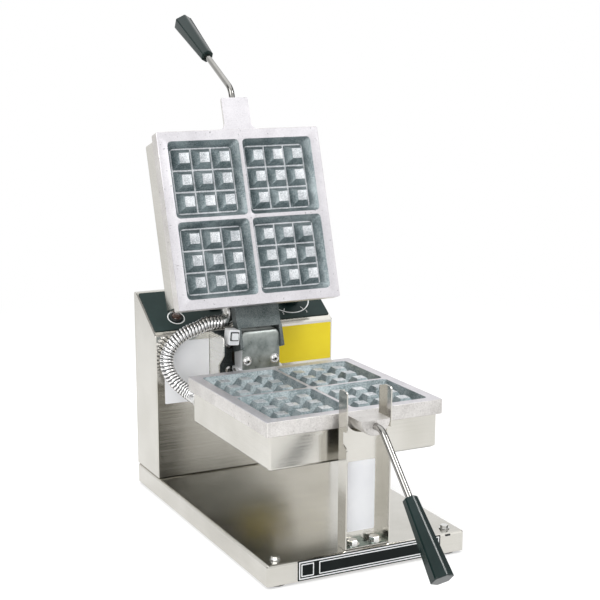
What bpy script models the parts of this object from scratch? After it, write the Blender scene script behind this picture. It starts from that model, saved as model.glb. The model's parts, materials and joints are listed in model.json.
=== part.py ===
"""Rotary square Belgian waffle maker, standing open: metres, +Z up, +Y to the back.

Everything hangs from one empty. Heights start at the table under the feet, depths at the
front of the base, and the whole machine is moved along Y at the end so that it is centred.
"""
import math

import bmesh
import bpy
from mathutils import Matrix, Vector
from mathutils.geometry import interpolate_bezier

# Fits and general finish
FIT = 0.0003
OVERRUN = 0.002
SHARP_ANGLE = math.radians(32)
WELD = 0.00001
HOLE_SIDES = 12
ROUND_SIDES = 16
FINE_SIDES = 32
HEX_SIDES = 6
SCREW_SIDES = 8
SQUARE_SIDES = 4
BEND_SEGMENTS = 2
CORNER_STEPS = 3
BROAD_CORNER_STEPS = 2

# Base tray and its feet
BASE_WIDTH = 0.260
BASE_SKIRT = 0.025
BASE_SHEET = 0.0015
BASE_BEND = 0.0025
FOOT_DROP = 0.003
FOOT_RADIUS = 0.0125
FOOT_FLARE = 0.0025
FOOT_INSET_X = 0.0175
FOOT_INSET_Y = 0.0160
FOOT_BOLT_RADIUS = 0.0025
FOOT_BOLT_HEAD = 0.0048
FOOT_BOLT_HEAD_HEIGHT = 0.0032
FOOT_BOLT_REACH = 0.018
WASHER_RADIUS = 0.0062
WASHER_THICKNESS = 0.0009

# Housing behind the grids
HOUSING_DEPTH = 0.0773
HOUSING_ABOVE_AXIS = 0.0381
HOUSING_SHEET = 0.0012
HOUSING_BEND = 0.0015
HOUSING_TOP_DEPTH = 0.0085
HOUSING_LIP = 0.0080
PANEL_ANGLE = math.radians(33.5)
PANEL_LOWER_MARGIN = 0.0075
PANEL_UPPER_MARGIN = 0.003
PANEL_SIDE_MARGIN = 0.0022
PANEL_THICKNESS = 0.0010
PANEL_CORNER = 0.0015

# Back cover
VENT_ROWS = 1
VENT_COLUMNS = 8
VENT_WIDTH = 0.0045
VENT_HEIGHT = 0.050
VENT_PITCH = 0.016
VENT_ROW_GAP = 0.012
VENT_TOP_MARGIN = 0.040
COVER_SCREW_HEAD = 0.0038
COVER_SCREW_SHANK = 0.0017
COVER_SCREW_DOME = 0.0022
COVER_SCREW_REACH = 0.005
GLAND_RADIUS = 0.0125
GLAND_BODY = 0.0085
GLAND_BORE = 0.0048
GLAND_REACH = 0.016
GLAND_NUT_THICKNESS = 0.005
GLAND_COLLAR = 0.004
GLAND_FROM_SIDE = 0.050
GLAND_HEIGHT = 0.038

# Controls on the sloped panel: the lamp from its lower end, the rest from its upper end
LAMP_FROM_SIDE = 0.0382
LAMP_UP = 0.028
LAMP_RADIUS = 0.0088
LAMP_LENS_RADIUS = 0.0062
LAMP_BEZEL_HEIGHT = 0.0030
LAMP_LENS_HEIGHT = 0.0052
LAMP_REACH = 0.020
LAMP_BARREL = 0.0070
TIMER_FROM_SIDE = 0.0510
TIMER_BELOW_TOP = 0.0355053
TIMER_BODY = 0.046
TIMER_BODY_DEPTH = 0.026
TIMER_NECK_RADIUS = 0.0048
TIMER_SHAFT_RADIUS = 0.0030
TIMER_SHAFT_REACH = 0.0110
KNOB_RADIUS = 0.0170
KNOB_TOP_RADIUS = 0.0125
KNOB_HEIGHT = 0.0155
KNOB_SKIRT_HEIGHT = 0.0040
KNOB_LIFT = 0.0010
KNOB_BORE_DEPTH = 0.0105
KNOB_GRIP_WIDTH = 0.0060
KNOB_GRIP_HEIGHT = 0.0100
SWITCH_X = -0.0330
SWITCH_BELOW_TOP = 0.0355053
SWITCH_WIDTH = 0.0150
SWITCH_LENGTH = 0.0250
SWITCH_BEZEL = 0.0018
SWITCH_WALL = 0.0014
SWITCH_BODY_DEPTH = 0.0160
ROCKER_RADIUS = 0.0098
ROCKER_RISE = 0.0028
ROCKER_TILT = math.radians(9)
ROCKER_SIDE_GAP = 0.0005
DRUM_STEPS = 12

# Pieces inside the housing
TERMINAL_LENGTH = 0.060
TERMINAL_DEPTH = 0.022
TERMINAL_HEIGHT = 0.018
TERMINAL_BARRIERS = 5
TERMINAL_BARRIER = 0.0018
TERMINAL_STEP = 0.007
TERMINAL_FROM_SIDE = 0.060

# The axis on which the head turns over, and the two halves of the head
AXIS_ABOVE_BASE = 0.1567
PARTING_GAP = 0.0006
GRID_MARGIN = 0.0130
GRID_SETBACK = 0.0309
GRID_CORNER = 0.0020
GRID_EDGE = 0.0008
RIM_HEIGHT = 0.0177
GRID_THICKNESS = 0.0220
CAVITY_DIVIDER = 0.0048
CAVITY_DEPTH = 0.0140
CAVITY_DRAFT = 0.0068
CAVITY_CORNER = 0.0050
PEGS_PER_SIDE = 3
PEG_GAP = 0.0020
PEG_MARGIN = 0.00175
PEG_BASE = 0.0263
PEG_TOP = 0.0133
PEG_HEIGHT = 0.0125
PEG_ROOT = 0.0010
PAN_INSET = 0.0051
PAN_DEPTH = 0.0591
PAN_SHEET = 0.0012
PAN_BEND = 0.0025

# Neck and handle of each half
NECK_RADIUS = 0.0191
NECK_LENGTH = 0.0420
NECK_FILLET = 0.0080
NECK_FILLET_DEPTH = 0.0110
NECK_NOSE = 0.0016
NECK_FLARE_STEPS = 4
HANDLE_OFFSET = 0.0078
HANDLE_ROD_RADIUS = 0.0040
HANDLE_SOCKET = 0.0200
HANDLE_BEND_RADIUS = 0.0220
HANDLE_BEND_START = 0.0046
HANDLE_ANGLE = math.radians(45)
HANDLE_ROD_BARE = 0.0775
GRIP_LENGTH = 0.0970
GRIP_NEAR_RADIUS = 0.0091
GRIP_FAR_RADIUS = 0.0138
GRIP_SIDES = 6
GRIP_EDGE = 0.0012
GRIP_BORE_DEPTH = 0.0300
HANDLE_BEND_STEPS = 7
HANDLE_BEVEL_STEPS = 4

# Heating parts inside each pan
ELEMENT_RADIUS = 0.0040
ELEMENT_RUNS = 4
ELEMENT_SIDE_INSET = 0.0130
ELEMENT_END_INSET = 0.0100
ELEMENT_TAIL = 0.0120
ELEMENT_BEND_STEPS = 6
ELEMENT_BEVEL_STEPS = 2
CLAMP_MARGIN = 0.0235
CLAMP_THICKNESS = 0.0015
CLAMP_CORNER = 0.0060
CLAMP_SCREW_HEAD = 0.0055
CLAMP_SCREW_DOME = 0.0030
CLAMP_SCREW_SHANK = 0.0025
CLAMP_SCREW_SOCKET = 0.0050
BOSS_INSET = 0.0260
BOSS_RADIUS = 0.0052
BOSS_STEM = 0.0025
BOSS_ROOT = 0.0020
BOSS_NUT = 0.0056
BOSS_NUT_HEIGHT = 0.0052

# Hinge between the halves
PIN_BEHIND_GRID = 0.04095
PIN_ABOVE_AXIS = 0.0305
PIN_RADIUS = 0.0040
PIN_HEAD_RADIUS = 0.0062
PIN_HEAD_THICKNESS = 0.0022
OPEN_ANGLE = math.radians(107.7)
BLOCK_BEYOND_FLANGE = 0.0020
BLOCK_RADIUS = 0.0120
BLOCK_BELOW_AXIS = 0.0317
BLOCK_TO_HOUSING = 0.02105
BLOCK_ARC_STEPS = 10
CHEEK_GAP = 0.0004
CHEEK_THICKNESS = 0.0040
CHEEK_FRONT = 0.0132
CHEEK_BACK = 0.0150
CHEEK_BELOW = 0.0150
CHEEK_ABOVE = 0.0105
CHEEK_RISE = 0.0050
CHEEK_CORNER = 0.0020
ARM_WEB = 0.0040
ARM_END_GAP = 0.0009
ARM_FLANGE_THICKNESS = 0.0040
ARM_FLANGE_HEIGHT = 0.0128
ARM_SCREW_SPACING = 0.0400
ARM_SCREW_UP = 0.0085
ARM_SCREW_HEAD = 0.0042
ARM_SCREW_SHANK = 0.0022
ARM_SCREW_DOME = 0.0026
ARM_SCREW_REACH = 0.0040
LOWER_CHEEK_TOP = 0.0060
LOWER_CHEEK_LAP = 0.0200
CROSS_BOLT_BELOW = 0.0140
CROSS_BOLT_RADIUS = 0.0025
CROSS_BOLT_HEAD = 0.0046
CROSS_BOLT_HEAD_HEIGHT = 0.0032
CROSS_BOLT_REACH = 0.0100
HINGE_SCREW_SPACING = 0.0396
HINGE_SCREW_EDGE = 0.0052
HINGE_SCREW_ABOVE = 0.0030
HINGE_SCREW_HEAD = 0.0050
HINGE_SCREW_DOME = 0.0030
HINGE_SCREW_SHANK = 0.0028

# Trunnion on which the head turns, and its bearing
TRUNNION_FLANGE_THICKNESS = 0.0060
TRUNNION_SHOULDER_RADIUS = 0.0175
TRUNNION_RADIUS = 0.0125
TRUNNION_BORE = 0.0080
TRUNNION_BEYOND_BUSH = 0.0150
BUSH_WALL = 0.0038
BUSH_FLANGE_RADIUS = 0.0230
BUSH_FLANGE_THICKNESS = 0.0032
BEARING_PLATE_WIDTH = 0.0700
BEARING_PLATE_HEIGHT = 0.0560
BEARING_PLATE_THICKNESS = 0.0040
COLLAR_RADIUS = 0.0185
COLLAR_THICKNESS = 0.0090

# Bracket on the housing that carries the bearing
BRACKET_LEFT = 0.0540
BRACKET_RIGHT = 0.0360
BRACKET_DROP = 0.0450
BRACKET_SHEET = 0.0020
BRACKET_FLANGE = 0.0294
BRACKET_SHORT_FLANGE = 0.0140
BRACKET_EAR = 0.0450
BRACKET_EAR_DROP = 0.0250
BRACKET_EAR_SLOPE = 0.0150
BRACKET_CORNER = 0.0060
BRACKET_BOLT_X = 0.0265
BRACKET_BOLT_Z = 0.0180
BRACKET_BOLT_RADIUS = 0.0028
BRACKET_BOLT_HEAD = 0.0052
BRACKET_BOLT_HEAD_HEIGHT = 0.0038

# Front post with its cradle
POST_SETBACK = 0.0035
POST_WIDTH = 0.0586
POST_SHEET = 0.0015
POST_FLANGE = 0.0185
POST_WAIST_STEP = 0.0080
POST_WAIST_LOW = 0.0317
POST_WAIST_HIGH = 0.0160
POST_EAR = 0.0313
POST_NOTCH_RADIUS = 0.0226
POST_NOTCH_STEPS = 16
POST_BOLT_SETBACK = 0.0104
POST_CORNER = 0.0040
POST_BOLT_X = 0.0145

# Armoured conduit between the two pans
CONDUIT_RADIUS = 0.0094
CONDUIT_ROOT_RADIUS = 0.0083
CONDUIT_BORE = 0.0065
CONDUIT_RIB_PITCH = 0.0046
CONDUIT_BEVEL_STEPS = 2
ROUTE_STEPS = 24
CONDUIT_EXIT_INSET = 0.0123
CONDUIT_EXIT_BELOW = 0.0335
CONNECTOR_RADIUS = 0.0120
CONNECTOR_BODY = 0.0102
CONNECTOR_COLLAR = 0.0030
CONNECTOR_LENGTH = 0.0070
CONNECTOR_SPIGOT = 0.0070
CONNECTOR_SPIGOT_REACH = 0.0060
ELBOW_X = -0.0290
ELBOW_ABOVE = 0.0457
ELBOW_LEG = 0.0198
ELBOW_MOUTH = 0.0130
ELBOW_STEPS = 5
ELBOW_BEVEL_STEPS = 6

# Places that follow from the sizes above
BASE_TOP = FOOT_DROP + BASE_SKIRT
AXIS_Z = BASE_TOP + AXIS_ABOVE_BASE
PEG_PITCH = PEG_BASE + PEG_GAP
CAVITY_FLOOR = (PEGS_PER_SIDE - 1) * PEG_PITCH + PEG_BASE + 2 * PEG_MARGIN
CAVITY_SIZE = CAVITY_FLOOR + 2 * CAVITY_DRAFT
GRID_SIZE = 2 * CAVITY_SIZE + CAVITY_DIVIDER + 2 * GRID_MARGIN
GRID_BACK = GRID_SETBACK + GRID_SIZE
GRID_MIDDLE = GRID_SETBACK + GRID_SIZE / 2
PIN_BACK = GRID_BACK + PIN_BEHIND_GRID
PIN_LOCAL = Vector((0, PIN_BACK, PIN_ABOVE_AXIS))
BLOCK_FRONT = PIN_BACK - BLOCK_RADIUS
BLOCK_BACK = PIN_BACK + BLOCK_RADIUS
HOUSING_FRONT = BLOCK_BACK + BLOCK_TO_HOUSING
HOUSING_FRONT_HEIGHT = AXIS_ABOVE_BASE + HOUSING_ABOVE_AXIS
BASE_DEPTH = HOUSING_FRONT + HOUSING_DEPTH
HOUSING_FOOT = BASE_TOP + FIT
PANEL_START_Z = BASE_TOP + HOUSING_FRONT_HEIGHT
PANEL_LENGTH = (HOUSING_DEPTH - HOUSING_TOP_DEPTH) / math.cos(PANEL_ANGLE)
HOUSING_TOP = PANEL_START_Z + PANEL_LENGTH * math.sin(PANEL_ANGLE)
TIMER_UP = PANEL_LENGTH - TIMER_BELOW_TOP
SWITCH_UP = PANEL_LENGTH - SWITCH_BELOW_TOP
TRUNNION_FLANGE = HINGE_SCREW_SPACING + 2 * HINGE_SCREW_EDGE
BLOCK_WIDTH = TRUNNION_FLANGE + 2 * BLOCK_BEYOND_FLANGE
COVER_FRONT = BASE_DEPTH - HOUSING_SHEET
SHELL_BACK = COVER_FRONT - FIT
FACE = PARTING_GAP / 2
PAN_SIZE = GRID_SIZE - 2 * PAN_INSET
PAN_BACK = GRID_BACK - PAN_INSET
PAN_TOP = FACE + RIM_HEIGHT + FIT
CORE_SIZE = PAN_SIZE - 2 * PAN_SHEET - 4 * FIT
CLAMP_SIZE = CORE_SIZE - 2 * CLAMP_MARGIN
ELEMENT_SPAN = CLAMP_SIZE - 2 * ELEMENT_SIDE_INSET
ELEMENT_LENGTH = CLAMP_SIZE - 2 * ELEMENT_END_INSET
BOSS_SPACING = CLAMP_SIZE - 2 * BOSS_INSET
CONDUIT_EXIT_X = CONDUIT_EXIT_INSET - PAN_SIZE / 2
GLAND_X = BASE_WIDTH / 2 - GLAND_FROM_SIDE
LAMP_X = LAMP_FROM_SIDE - BASE_WIDTH / 2
TIMER_X = BASE_WIDTH / 2 - TIMER_FROM_SIDE
TERMINAL_X = BASE_WIDTH / 2 - TERMINAL_FROM_SIDE
PAN_FLOOR = PAN_DEPTH - PAN_SHEET
GRID_UNDERSIDE = FACE + GRID_THICKNESS
ELEMENT_LEVEL = GRID_UNDERSIDE + FIT + ELEMENT_RADIUS
CLAMP_LEVEL = ELEMENT_LEVEL + ELEMENT_RADIUS + FIT
NECK_FRONT = GRID_SETBACK - NECK_LENGTH
CHEEK_INSIDE = BLOCK_WIDTH / 2 + CHEEK_GAP
CHEEK_OUTSIDE = CHEEK_INSIDE + CHEEK_THICKNESS
ARM_UNDERSIDE = FACE + RIM_HEIGHT + FIT
TRUNNION_FRONT = BLOCK_BACK + FIT
TRUNNION_SHOULDER = TRUNNION_FRONT + TRUNNION_FLANGE_THICKNESS
BRACKET_BACK = HOUSING_FRONT - FIT
BRACKET_WEB = BRACKET_BACK - BRACKET_SHEET
BRACKET_TOP = PANEL_START_Z - AXIS_Z
BUSH_FRONT = BRACKET_WEB - FIT - BUSH_FLANGE_THICKNESS
BUSH_BORE = TRUNNION_RADIUS + FIT
BUSH_OUTSIDE = BUSH_BORE + BUSH_WALL
PLATE_FRONT = HOUSING_FRONT + HOUSING_SHEET + FIT
PLATE_BACK = PLATE_FRONT + BEARING_PLATE_THICKNESS
BUSH_BACK = PLATE_BACK + FIT
COLLAR_FRONT = BUSH_BACK + FIT
TRUNNION_END = COLLAR_FRONT + TRUNNION_BEYOND_BUSH
POST_BACK = POST_SETBACK + POST_FLANGE

# The conduit's way from its straight start to its straight end, as shares of the step
# between them along X, Y and Z: out past the bracket, then up and level over it
CONDUIT_ROUTE_SHARES = [
    (-0.1355, 0.3325, 0.0533),
    (-0.4065, 0.6394, 0.1777),
    (-0.5827, 0.8568, 0.3673),
    (-0.5556, 0.9719, 0.5628),
    (-0.2981, 0.9974, 0.7405),
    (0.1355, 0.9974, 0.8709),
    (0.6504, 0.9923, 0.9479),
]


def collection(name):
    """Make a collection in the scene."""
    made = bpy.data.collections.new(name)
    bpy.context.scene.collection.children.link(made)
    return made


def clear_scene():
    """Remove every object that the file starts with."""
    for obj in list(bpy.data.objects):
        bpy.data.objects.remove(obj, do_unlink=True)


clear_scene()
PARTS = collection("belgian_waffle_maker")
CUTTERS = collection("cutters")
FRAMES = collection("frames")


def material(name, colour, roughness, metallic):
    """Make one Principled material."""
    made = bpy.data.materials.new(name)
    made.use_nodes = True
    shader = made.node_tree.nodes["Principled BSDF"]
    shader.inputs["Base Color"].default_value = (*colour, 1)
    shader.inputs["Roughness"].default_value = roughness
    shader.inputs["Metallic"].default_value = metallic
    return made


STAINLESS = material("stainless", (0.66, 0.66, 0.63), 0.28, 1.0)
CAST = material("cast_aluminium", (0.60, 0.62, 0.62), 0.50, 0.8)
DARK_CAST = material("dark_cast", (0.16, 0.18, 0.18), 0.60, 0.6)
PLATED = material("plated_steel", (0.72, 0.72, 0.70), 0.22, 1.0)
PHENOLIC = material("phenolic", (0.012, 0.014, 0.015), 0.22, 0.0)
PANEL_BLACK = material("panel_black", (0.02, 0.04, 0.04), 0.45, 0.0)
RUBBER = material("rubber", (0.02, 0.02, 0.02), 0.80, 0.0)
BRONZE = material("bronze", (0.55, 0.38, 0.20), 0.40, 1.0)
SHEATH = material("heater_sheath", (0.20, 0.18, 0.16), 0.50, 0.8)
MOULDING = material("moulding", (0.10, 0.10, 0.10), 0.50, 0.0)
LENS = material("amber_lens", (0.85, 0.35, 0.06), 0.20, 0.0)


def frame(name, parent=None, location=(0, 0, 0), rotation=(0, 0, 0)):
    """An empty that carries pieces, with its origin on their axis."""
    made = bpy.data.objects.new(name, None)
    FRAMES.objects.link(made)
    made.parent = parent
    made.location = location
    made.rotation_euler = rotation
    return made


MACHINE = frame("machine")
HEAD = frame("head_axis", MACHINE, (0, 0, AXIS_Z))
PIVOT = frame("hinge_axis", HEAD, PIN_LOCAL, (-OPEN_ANGLE, 0, 0))
UPPER_FACE = frame("upper_face", PIVOT, -PIN_LOCAL, (0, math.pi, 0))
UPPER = frame("upper_shut", PIVOT, -PIN_LOCAL)
PANEL = frame("panel_slope", MACHINE, (0, HOUSING_FRONT, PANEL_START_Z), (PANEL_ANGLE, 0, 0))
LOWER_FACE = frame("lower_face", HEAD)
HALVES = (("lower", LOWER_FACE), ("upper", UPPER_FACE))
SIDES = ("left", "right")
ENDS = (("left", -1), ("right", 1))


def shade(mesh):
    """Smooth the round faces and keep real edges sharp."""
    mesh.shade_smooth()
    mesh.set_sharp_from_angle(angle=SHARP_ANGLE)


def place(name, mesh, parent, finish, origin):
    """Make a named object whose origin sits at a point of its parent's frame."""
    mesh.name = name
    mesh.transform(Matrix.Translation(-Vector(origin)))
    shade(mesh)
    made = bpy.data.objects.new(name, mesh)
    made.location = origin
    made.parent = parent
    if finish is None:
        CUTTERS.objects.link(made)
        made.hide_render = True
        made.display_type = "WIRE"
    else:
        PARTS.objects.link(made)
        mesh.materials.clear()
        mesh.materials.append(finish)
    return made


def solid(name, bm, parent, finish=None, origin=(0, 0, 0)):
    """Turn a bmesh into an object: a part if it has a finish, else a cutter."""
    mesh = bpy.data.meshes.new(name)
    bmesh.ops.recalc_face_normals(bm, faces=bm.faces)
    bm.to_mesh(mesh)
    bm.free()
    return place(name, mesh, parent, finish, origin)


def boolean(target, other, operation):
    """Cut or join one object with another that stays as a guide."""
    step = target.modifiers.new(operation.lower(), "BOOLEAN")
    step.operation = operation
    step.solver = "EXACT"
    step.object = other
    return target


def cut(target, other):
    """Take the other shape out of the target."""
    return boolean(target, other, "DIFFERENCE")


def join(target, other):
    """Fuse the other shape with the target."""
    return boolean(target, other, "UNION")


def bevel(target, width, segments=1, angle=SHARP_ANGLE):
    """Round the edges that are sharper than the angle."""
    step = target.modifiers.new("edges", "BEVEL")
    step.width = width
    step.segments = segments
    step.limit_method = "ANGLE"
    step.angle_limit = angle
    return target


def thicken(target, thickness):
    """Give an open surface its sheet thickness on the inside."""
    step = target.modifiers.new("sheet", "SOLIDIFY")
    step.thickness = thickness
    step.offset = -1
    step.use_even_offset = True
    return target


def add_block(bm, low, high):
    """A box between two corners."""
    low, high = Vector(low), Vector(high)
    spot = Matrix.Translation((low + high) / 2) @ Matrix.Diagonal((*(high - low), 1))
    return bmesh.ops.create_cube(bm, size=1, matrix=spot)["verts"]


def add_round(bm, start, end, radius, end_radius=None, sides=ROUND_SIDES, turn=0):
    """A round, many-sided or tapered bar between two points."""
    start, end = Vector(start), Vector(end)
    along = end - start
    spot = Matrix.Translation((start + end) / 2) @ along.to_track_quat("Z", "Y").to_matrix().to_4x4()
    spot = spot @ Matrix.Rotation(turn, 4, "Z")
    far = radius if end_radius is None else end_radius
    made = bmesh.ops.create_cone(
        bm, cap_ends=True, segments=sides, radius1=radius, radius2=far, depth=along.length, matrix=spot
    )
    return made["verts"]


def block(name, low, high, parent, finish=None, origin=(0, 0, 0)):
    """One box as an object."""
    bm = bmesh.new()
    add_block(bm, low, high)
    return solid(name, bm, parent, finish, origin)


def bars(name, rods, parent, finish=None, origin=(0, 0, 0), sides=ROUND_SIDES):
    """Several separate round bars as one object; each is a start, an end and a radius."""
    bm = bmesh.new()
    for start, end, radius in rods:
        add_round(bm, start, end, radius, sides=sides)
    return solid(name, bm, parent, finish, origin)


def rounded(corners, steps=CORNER_STEPS):
    """Outline through corners (x, y, radius), each rounded by an arc of its radius."""
    points = []
    count = len(corners)
    for index, (x, y, radius) in enumerate(corners):
        here = Vector((x, y))
        back = (Vector(corners[index - 1][:2]) - here).normalized()
        ahead = (Vector(corners[(index + 1) % count][:2]) - here).normalized()
        if radius == 0:
            points.append(here)
            continue
        half = back.angle(ahead) / 2
        reach = radius / math.tan(half)
        centre = here + (back + ahead).normalized() * (radius / math.sin(half))
        first = here + back * reach - centre
        last = here + ahead * reach - centre
        sweep = first.angle_signed(last)
        for step in range(steps + 1):
            turned = first.copy()
            turned.rotate(Matrix.Rotation(-sweep * step / steps, 2))
            points.append(centre + turned)
    return points


def arc(centre, radius, start, end, steps):
    """Points on an arc, angles in radians."""
    angles = [start + (end - start) * step / steps for step in range(steps + 1)]
    return [Vector((centre[0] + radius * math.cos(a), centre[1] + radius * math.sin(a))) for a in angles]


PLANES = {
    "XY": Matrix(((1, 0, 0, 0), (0, 1, 0, 0), (0, 0, 1, 0), (0, 0, 0, 1))),
    "YZ": Matrix(((0, 0, 1, 0), (1, 0, 0, 0), (0, 1, 0, 0), (0, 0, 0, 1))),
    "XZ": Matrix(((1, 0, 0, 0), (0, 0, -1, 0), (0, 1, 0, 0), (0, 0, 0, 1))),
}


def mesh_of_curve(name, curve):
    """The closed mesh of a curve, its caps welded to its sides."""
    holder = bpy.data.objects.new(name, curve)
    bpy.context.scene.collection.objects.link(holder)
    graph = bpy.context.evaluated_depsgraph_get()
    mesh = bpy.data.meshes.new_from_object(holder.evaluated_get(graph))
    bpy.data.objects.remove(holder, do_unlink=True)
    bpy.data.curves.remove(curve)
    bm = bmesh.new()
    bm.from_mesh(mesh)
    bmesh.ops.remove_doubles(bm, verts=bm.verts, dist=WELD)
    bmesh.ops.recalc_face_normals(bm, faces=bm.faces)
    bm.to_mesh(mesh)
    bm.free()
    return mesh


def outline(name, loops, plane, low, high, parent, finish=None, origin=(0, 0, 0)):
    """A flat outline in one plane, with thickness from low to high across it."""
    curve = bpy.data.curves.new(name, "CURVE")
    curve.dimensions = "2D"
    curve.fill_mode = "BOTH"
    curve.extrude = abs(high - low) / 2
    for loop in loops:
        spline = curve.splines.new("POLY")
        spline.points.add(len(loop) - 1)
        for point, (x, y) in zip(spline.points, loop):
            point.co = (x, y, 0, 1)
        spline.use_cyclic_u = True
    mesh = mesh_of_curve(name, curve)
    across = PLANES[plane] @ Vector((0, 0, 1, 0))
    sign = 1 if max(across) > 0 else -1
    mesh.transform(PLANES[plane] @ Matrix.Translation((0, 0, sign * (low + high) / 2)))
    return place(name, mesh, parent, finish, origin)


def tube_curve(name, points, radius, resolution, radii=None):
    """A filled round tube through points, as curve data."""
    curve = bpy.data.curves.new(name, "CURVE")
    curve.dimensions = "3D"
    curve.bevel_depth = radius
    curve.bevel_resolution = resolution
    curve.use_fill_caps = True
    spline = curve.splines.new("POLY")
    spline.points.add(len(points) - 1)
    for index, (point, spot) in enumerate(zip(spline.points, points)):
        point.co = (*spot, 1)
        point.radius = 1 if radii is None else radii[index]
    return curve


def tube(name, points, radius, parent, finish, resolution, origin=(0, 0, 0)):
    """A tube, wire or rod as a curve object."""
    moved = [Vector(point) - Vector(origin) for point in points]
    curve = tube_curve(name, moved, radius, resolution)
    curve.materials.append(finish)
    made = bpy.data.objects.new(name, curve)
    made.location = origin
    made.parent = parent
    PARTS.objects.link(made)
    return made


def turned(name, profile, parent, finish, location, towards, closed=False, sides=ROUND_SIDES):
    """A turned shape: its profile (radius, height) runs down the outer side, top to bottom."""
    bm = bmesh.new()
    verts = [bm.verts.new((radius, 0, height)) for radius, height in profile]
    for first, second in zip(verts, verts[1:]):
        bm.edges.new((first, second))
    if closed:
        bm.edges.new((verts[-1], verts[0]))
    mesh = bpy.data.meshes.new(name)
    bm.to_mesh(mesh)
    bm.free()
    made = bpy.data.objects.new(name, mesh)
    made.location = location
    made.rotation_euler = Vector(towards).to_track_quat("Z", "Y").to_euler()
    made.parent = parent
    if finish is None:
        CUTTERS.objects.link(made)
        made.hide_render = True
        made.display_type = "WIRE"
    else:
        PARTS.objects.link(made)
        mesh.materials.append(finish)
    screw = made.modifiers.new("turn", "SCREW")
    screw.axis = "Z"
    screw.steps = sides
    screw.render_steps = sides
    screw.use_merge_vertices = True
    screw.merge_threshold = WELD
    screw.use_smooth_shade = True
    return made


def evaluated(obj):
    """The mesh of an object as its modifiers leave it, in its own frame."""
    graph = bpy.context.evaluated_depsgraph_get()
    return bpy.data.meshes.new_from_object(obj.evaluated_get(graph))


def upright(point, towards):
    """The place of a copy whose own +Z is turned to a direction."""
    return Matrix.Translation(point) @ Vector(towards).to_track_quat("Z", "Y").to_matrix().to_4x4()


def drop_pattern():
    """Remove a pattern once its copies are made."""
    for guide in [obj for obj in CUTTERS.objects if obj.name.startswith("pattern")]:
        bpy.data.objects.remove(guide, do_unlink=True)


def copies(pattern, spots, parent, finish):
    """Equal pieces, one object for each name, point and direction, sharing one mesh."""
    mesh = evaluated(pattern)
    shade(mesh)
    mesh.materials.clear()
    mesh.materials.append(finish)
    for name, point, towards in spots:
        made = bpy.data.objects.new(name, mesh)
        made.parent = parent
        made.matrix_local = upright(point, towards)
        PARTS.objects.link(made)
    drop_pattern()


def fuse(target, name, pattern, spots, parent):
    """Join equal copies of a pattern to the piece that carries them."""
    mesh = evaluated(pattern)
    bm = bmesh.new()
    for point, towards in spots:
        copy = mesh.copy()
        copy.transform(upright(point, towards))
        bm.from_mesh(copy)
        bpy.data.meshes.remove(copy)
    drop_pattern()
    return join(target, solid(name, bm, parent))


def hex_bolt(head_radius, head_height, shank_radius, reach):
    """Pattern of a hex bolt with its washer, seated at zero with its shank downwards."""
    lap = WASHER_THICKNESS / 2
    rod = ((0, 0, -reach), (0, 0, WASHER_THICKNESS + lap), shank_radius)
    shank = bars("pattern_shank", [rod], None, sides=SCREW_SIDES)
    washer = bars("pattern_washer", [((0, 0, 0), (0, 0, WASHER_THICKNESS), WASHER_RADIUS)], None)
    bm = bmesh.new()
    add_round(bm, (0, 0, lap), (0, 0, WASHER_THICKNESS + head_height), head_radius, sides=HEX_SIDES)
    head = solid("pattern_head", bm, None)
    return join(join(shank, washer), head)


def dome_screw(head_radius, dome, shank_radius, reach, sides=HOLE_SIDES):
    """Pattern of a round-head screw, seated at zero with its shank downwards."""
    crown_shares = [(0, 1), (0.66, 0.78), (1, 0)]
    profile = [(head_radius * across, dome * up) for across, up in crown_shares]
    profile += [(shank_radius, 0), (shank_radius, -reach), (0, -reach)]
    return turned("pattern_screw", profile, None, None, (0, 0, 0), (0, 0, 1), sides=sides)


def corners_of(half_width, half_depth, middle=(0, 0)):
    """The four places at the corners of a rectangle."""
    return [
        (middle[0] + across * half_width, middle[1] + along * half_depth)
        for across in (-1, 1)
        for along in (-1, 1)
    ]


def bores(target, name, rods, parent, sides=HOLE_SIDES):
    """Drill several round holes through one piece."""
    return cut(target, bars(name, rods, parent, sides=sides))


def inset_lip(mesh, directions):
    """Open the faces that look in these directions, each but for a lip of its own width."""
    bm = bmesh.new()
    bm.from_mesh(mesh)
    for direction, width in directions:
        facing = [face for face in bm.faces if face.normal.dot(Vector(direction)) > math.cos(SHARP_ANGLE)]
        bmesh.ops.inset_region(bm, faces=facing, thickness=width, use_even_offset=True)
        inner = [face for face in facing if face.is_valid]
        bmesh.ops.delete(bm, geom=inner, context="FACES")
    bm.to_mesh(mesh)
    bm.free()


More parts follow.
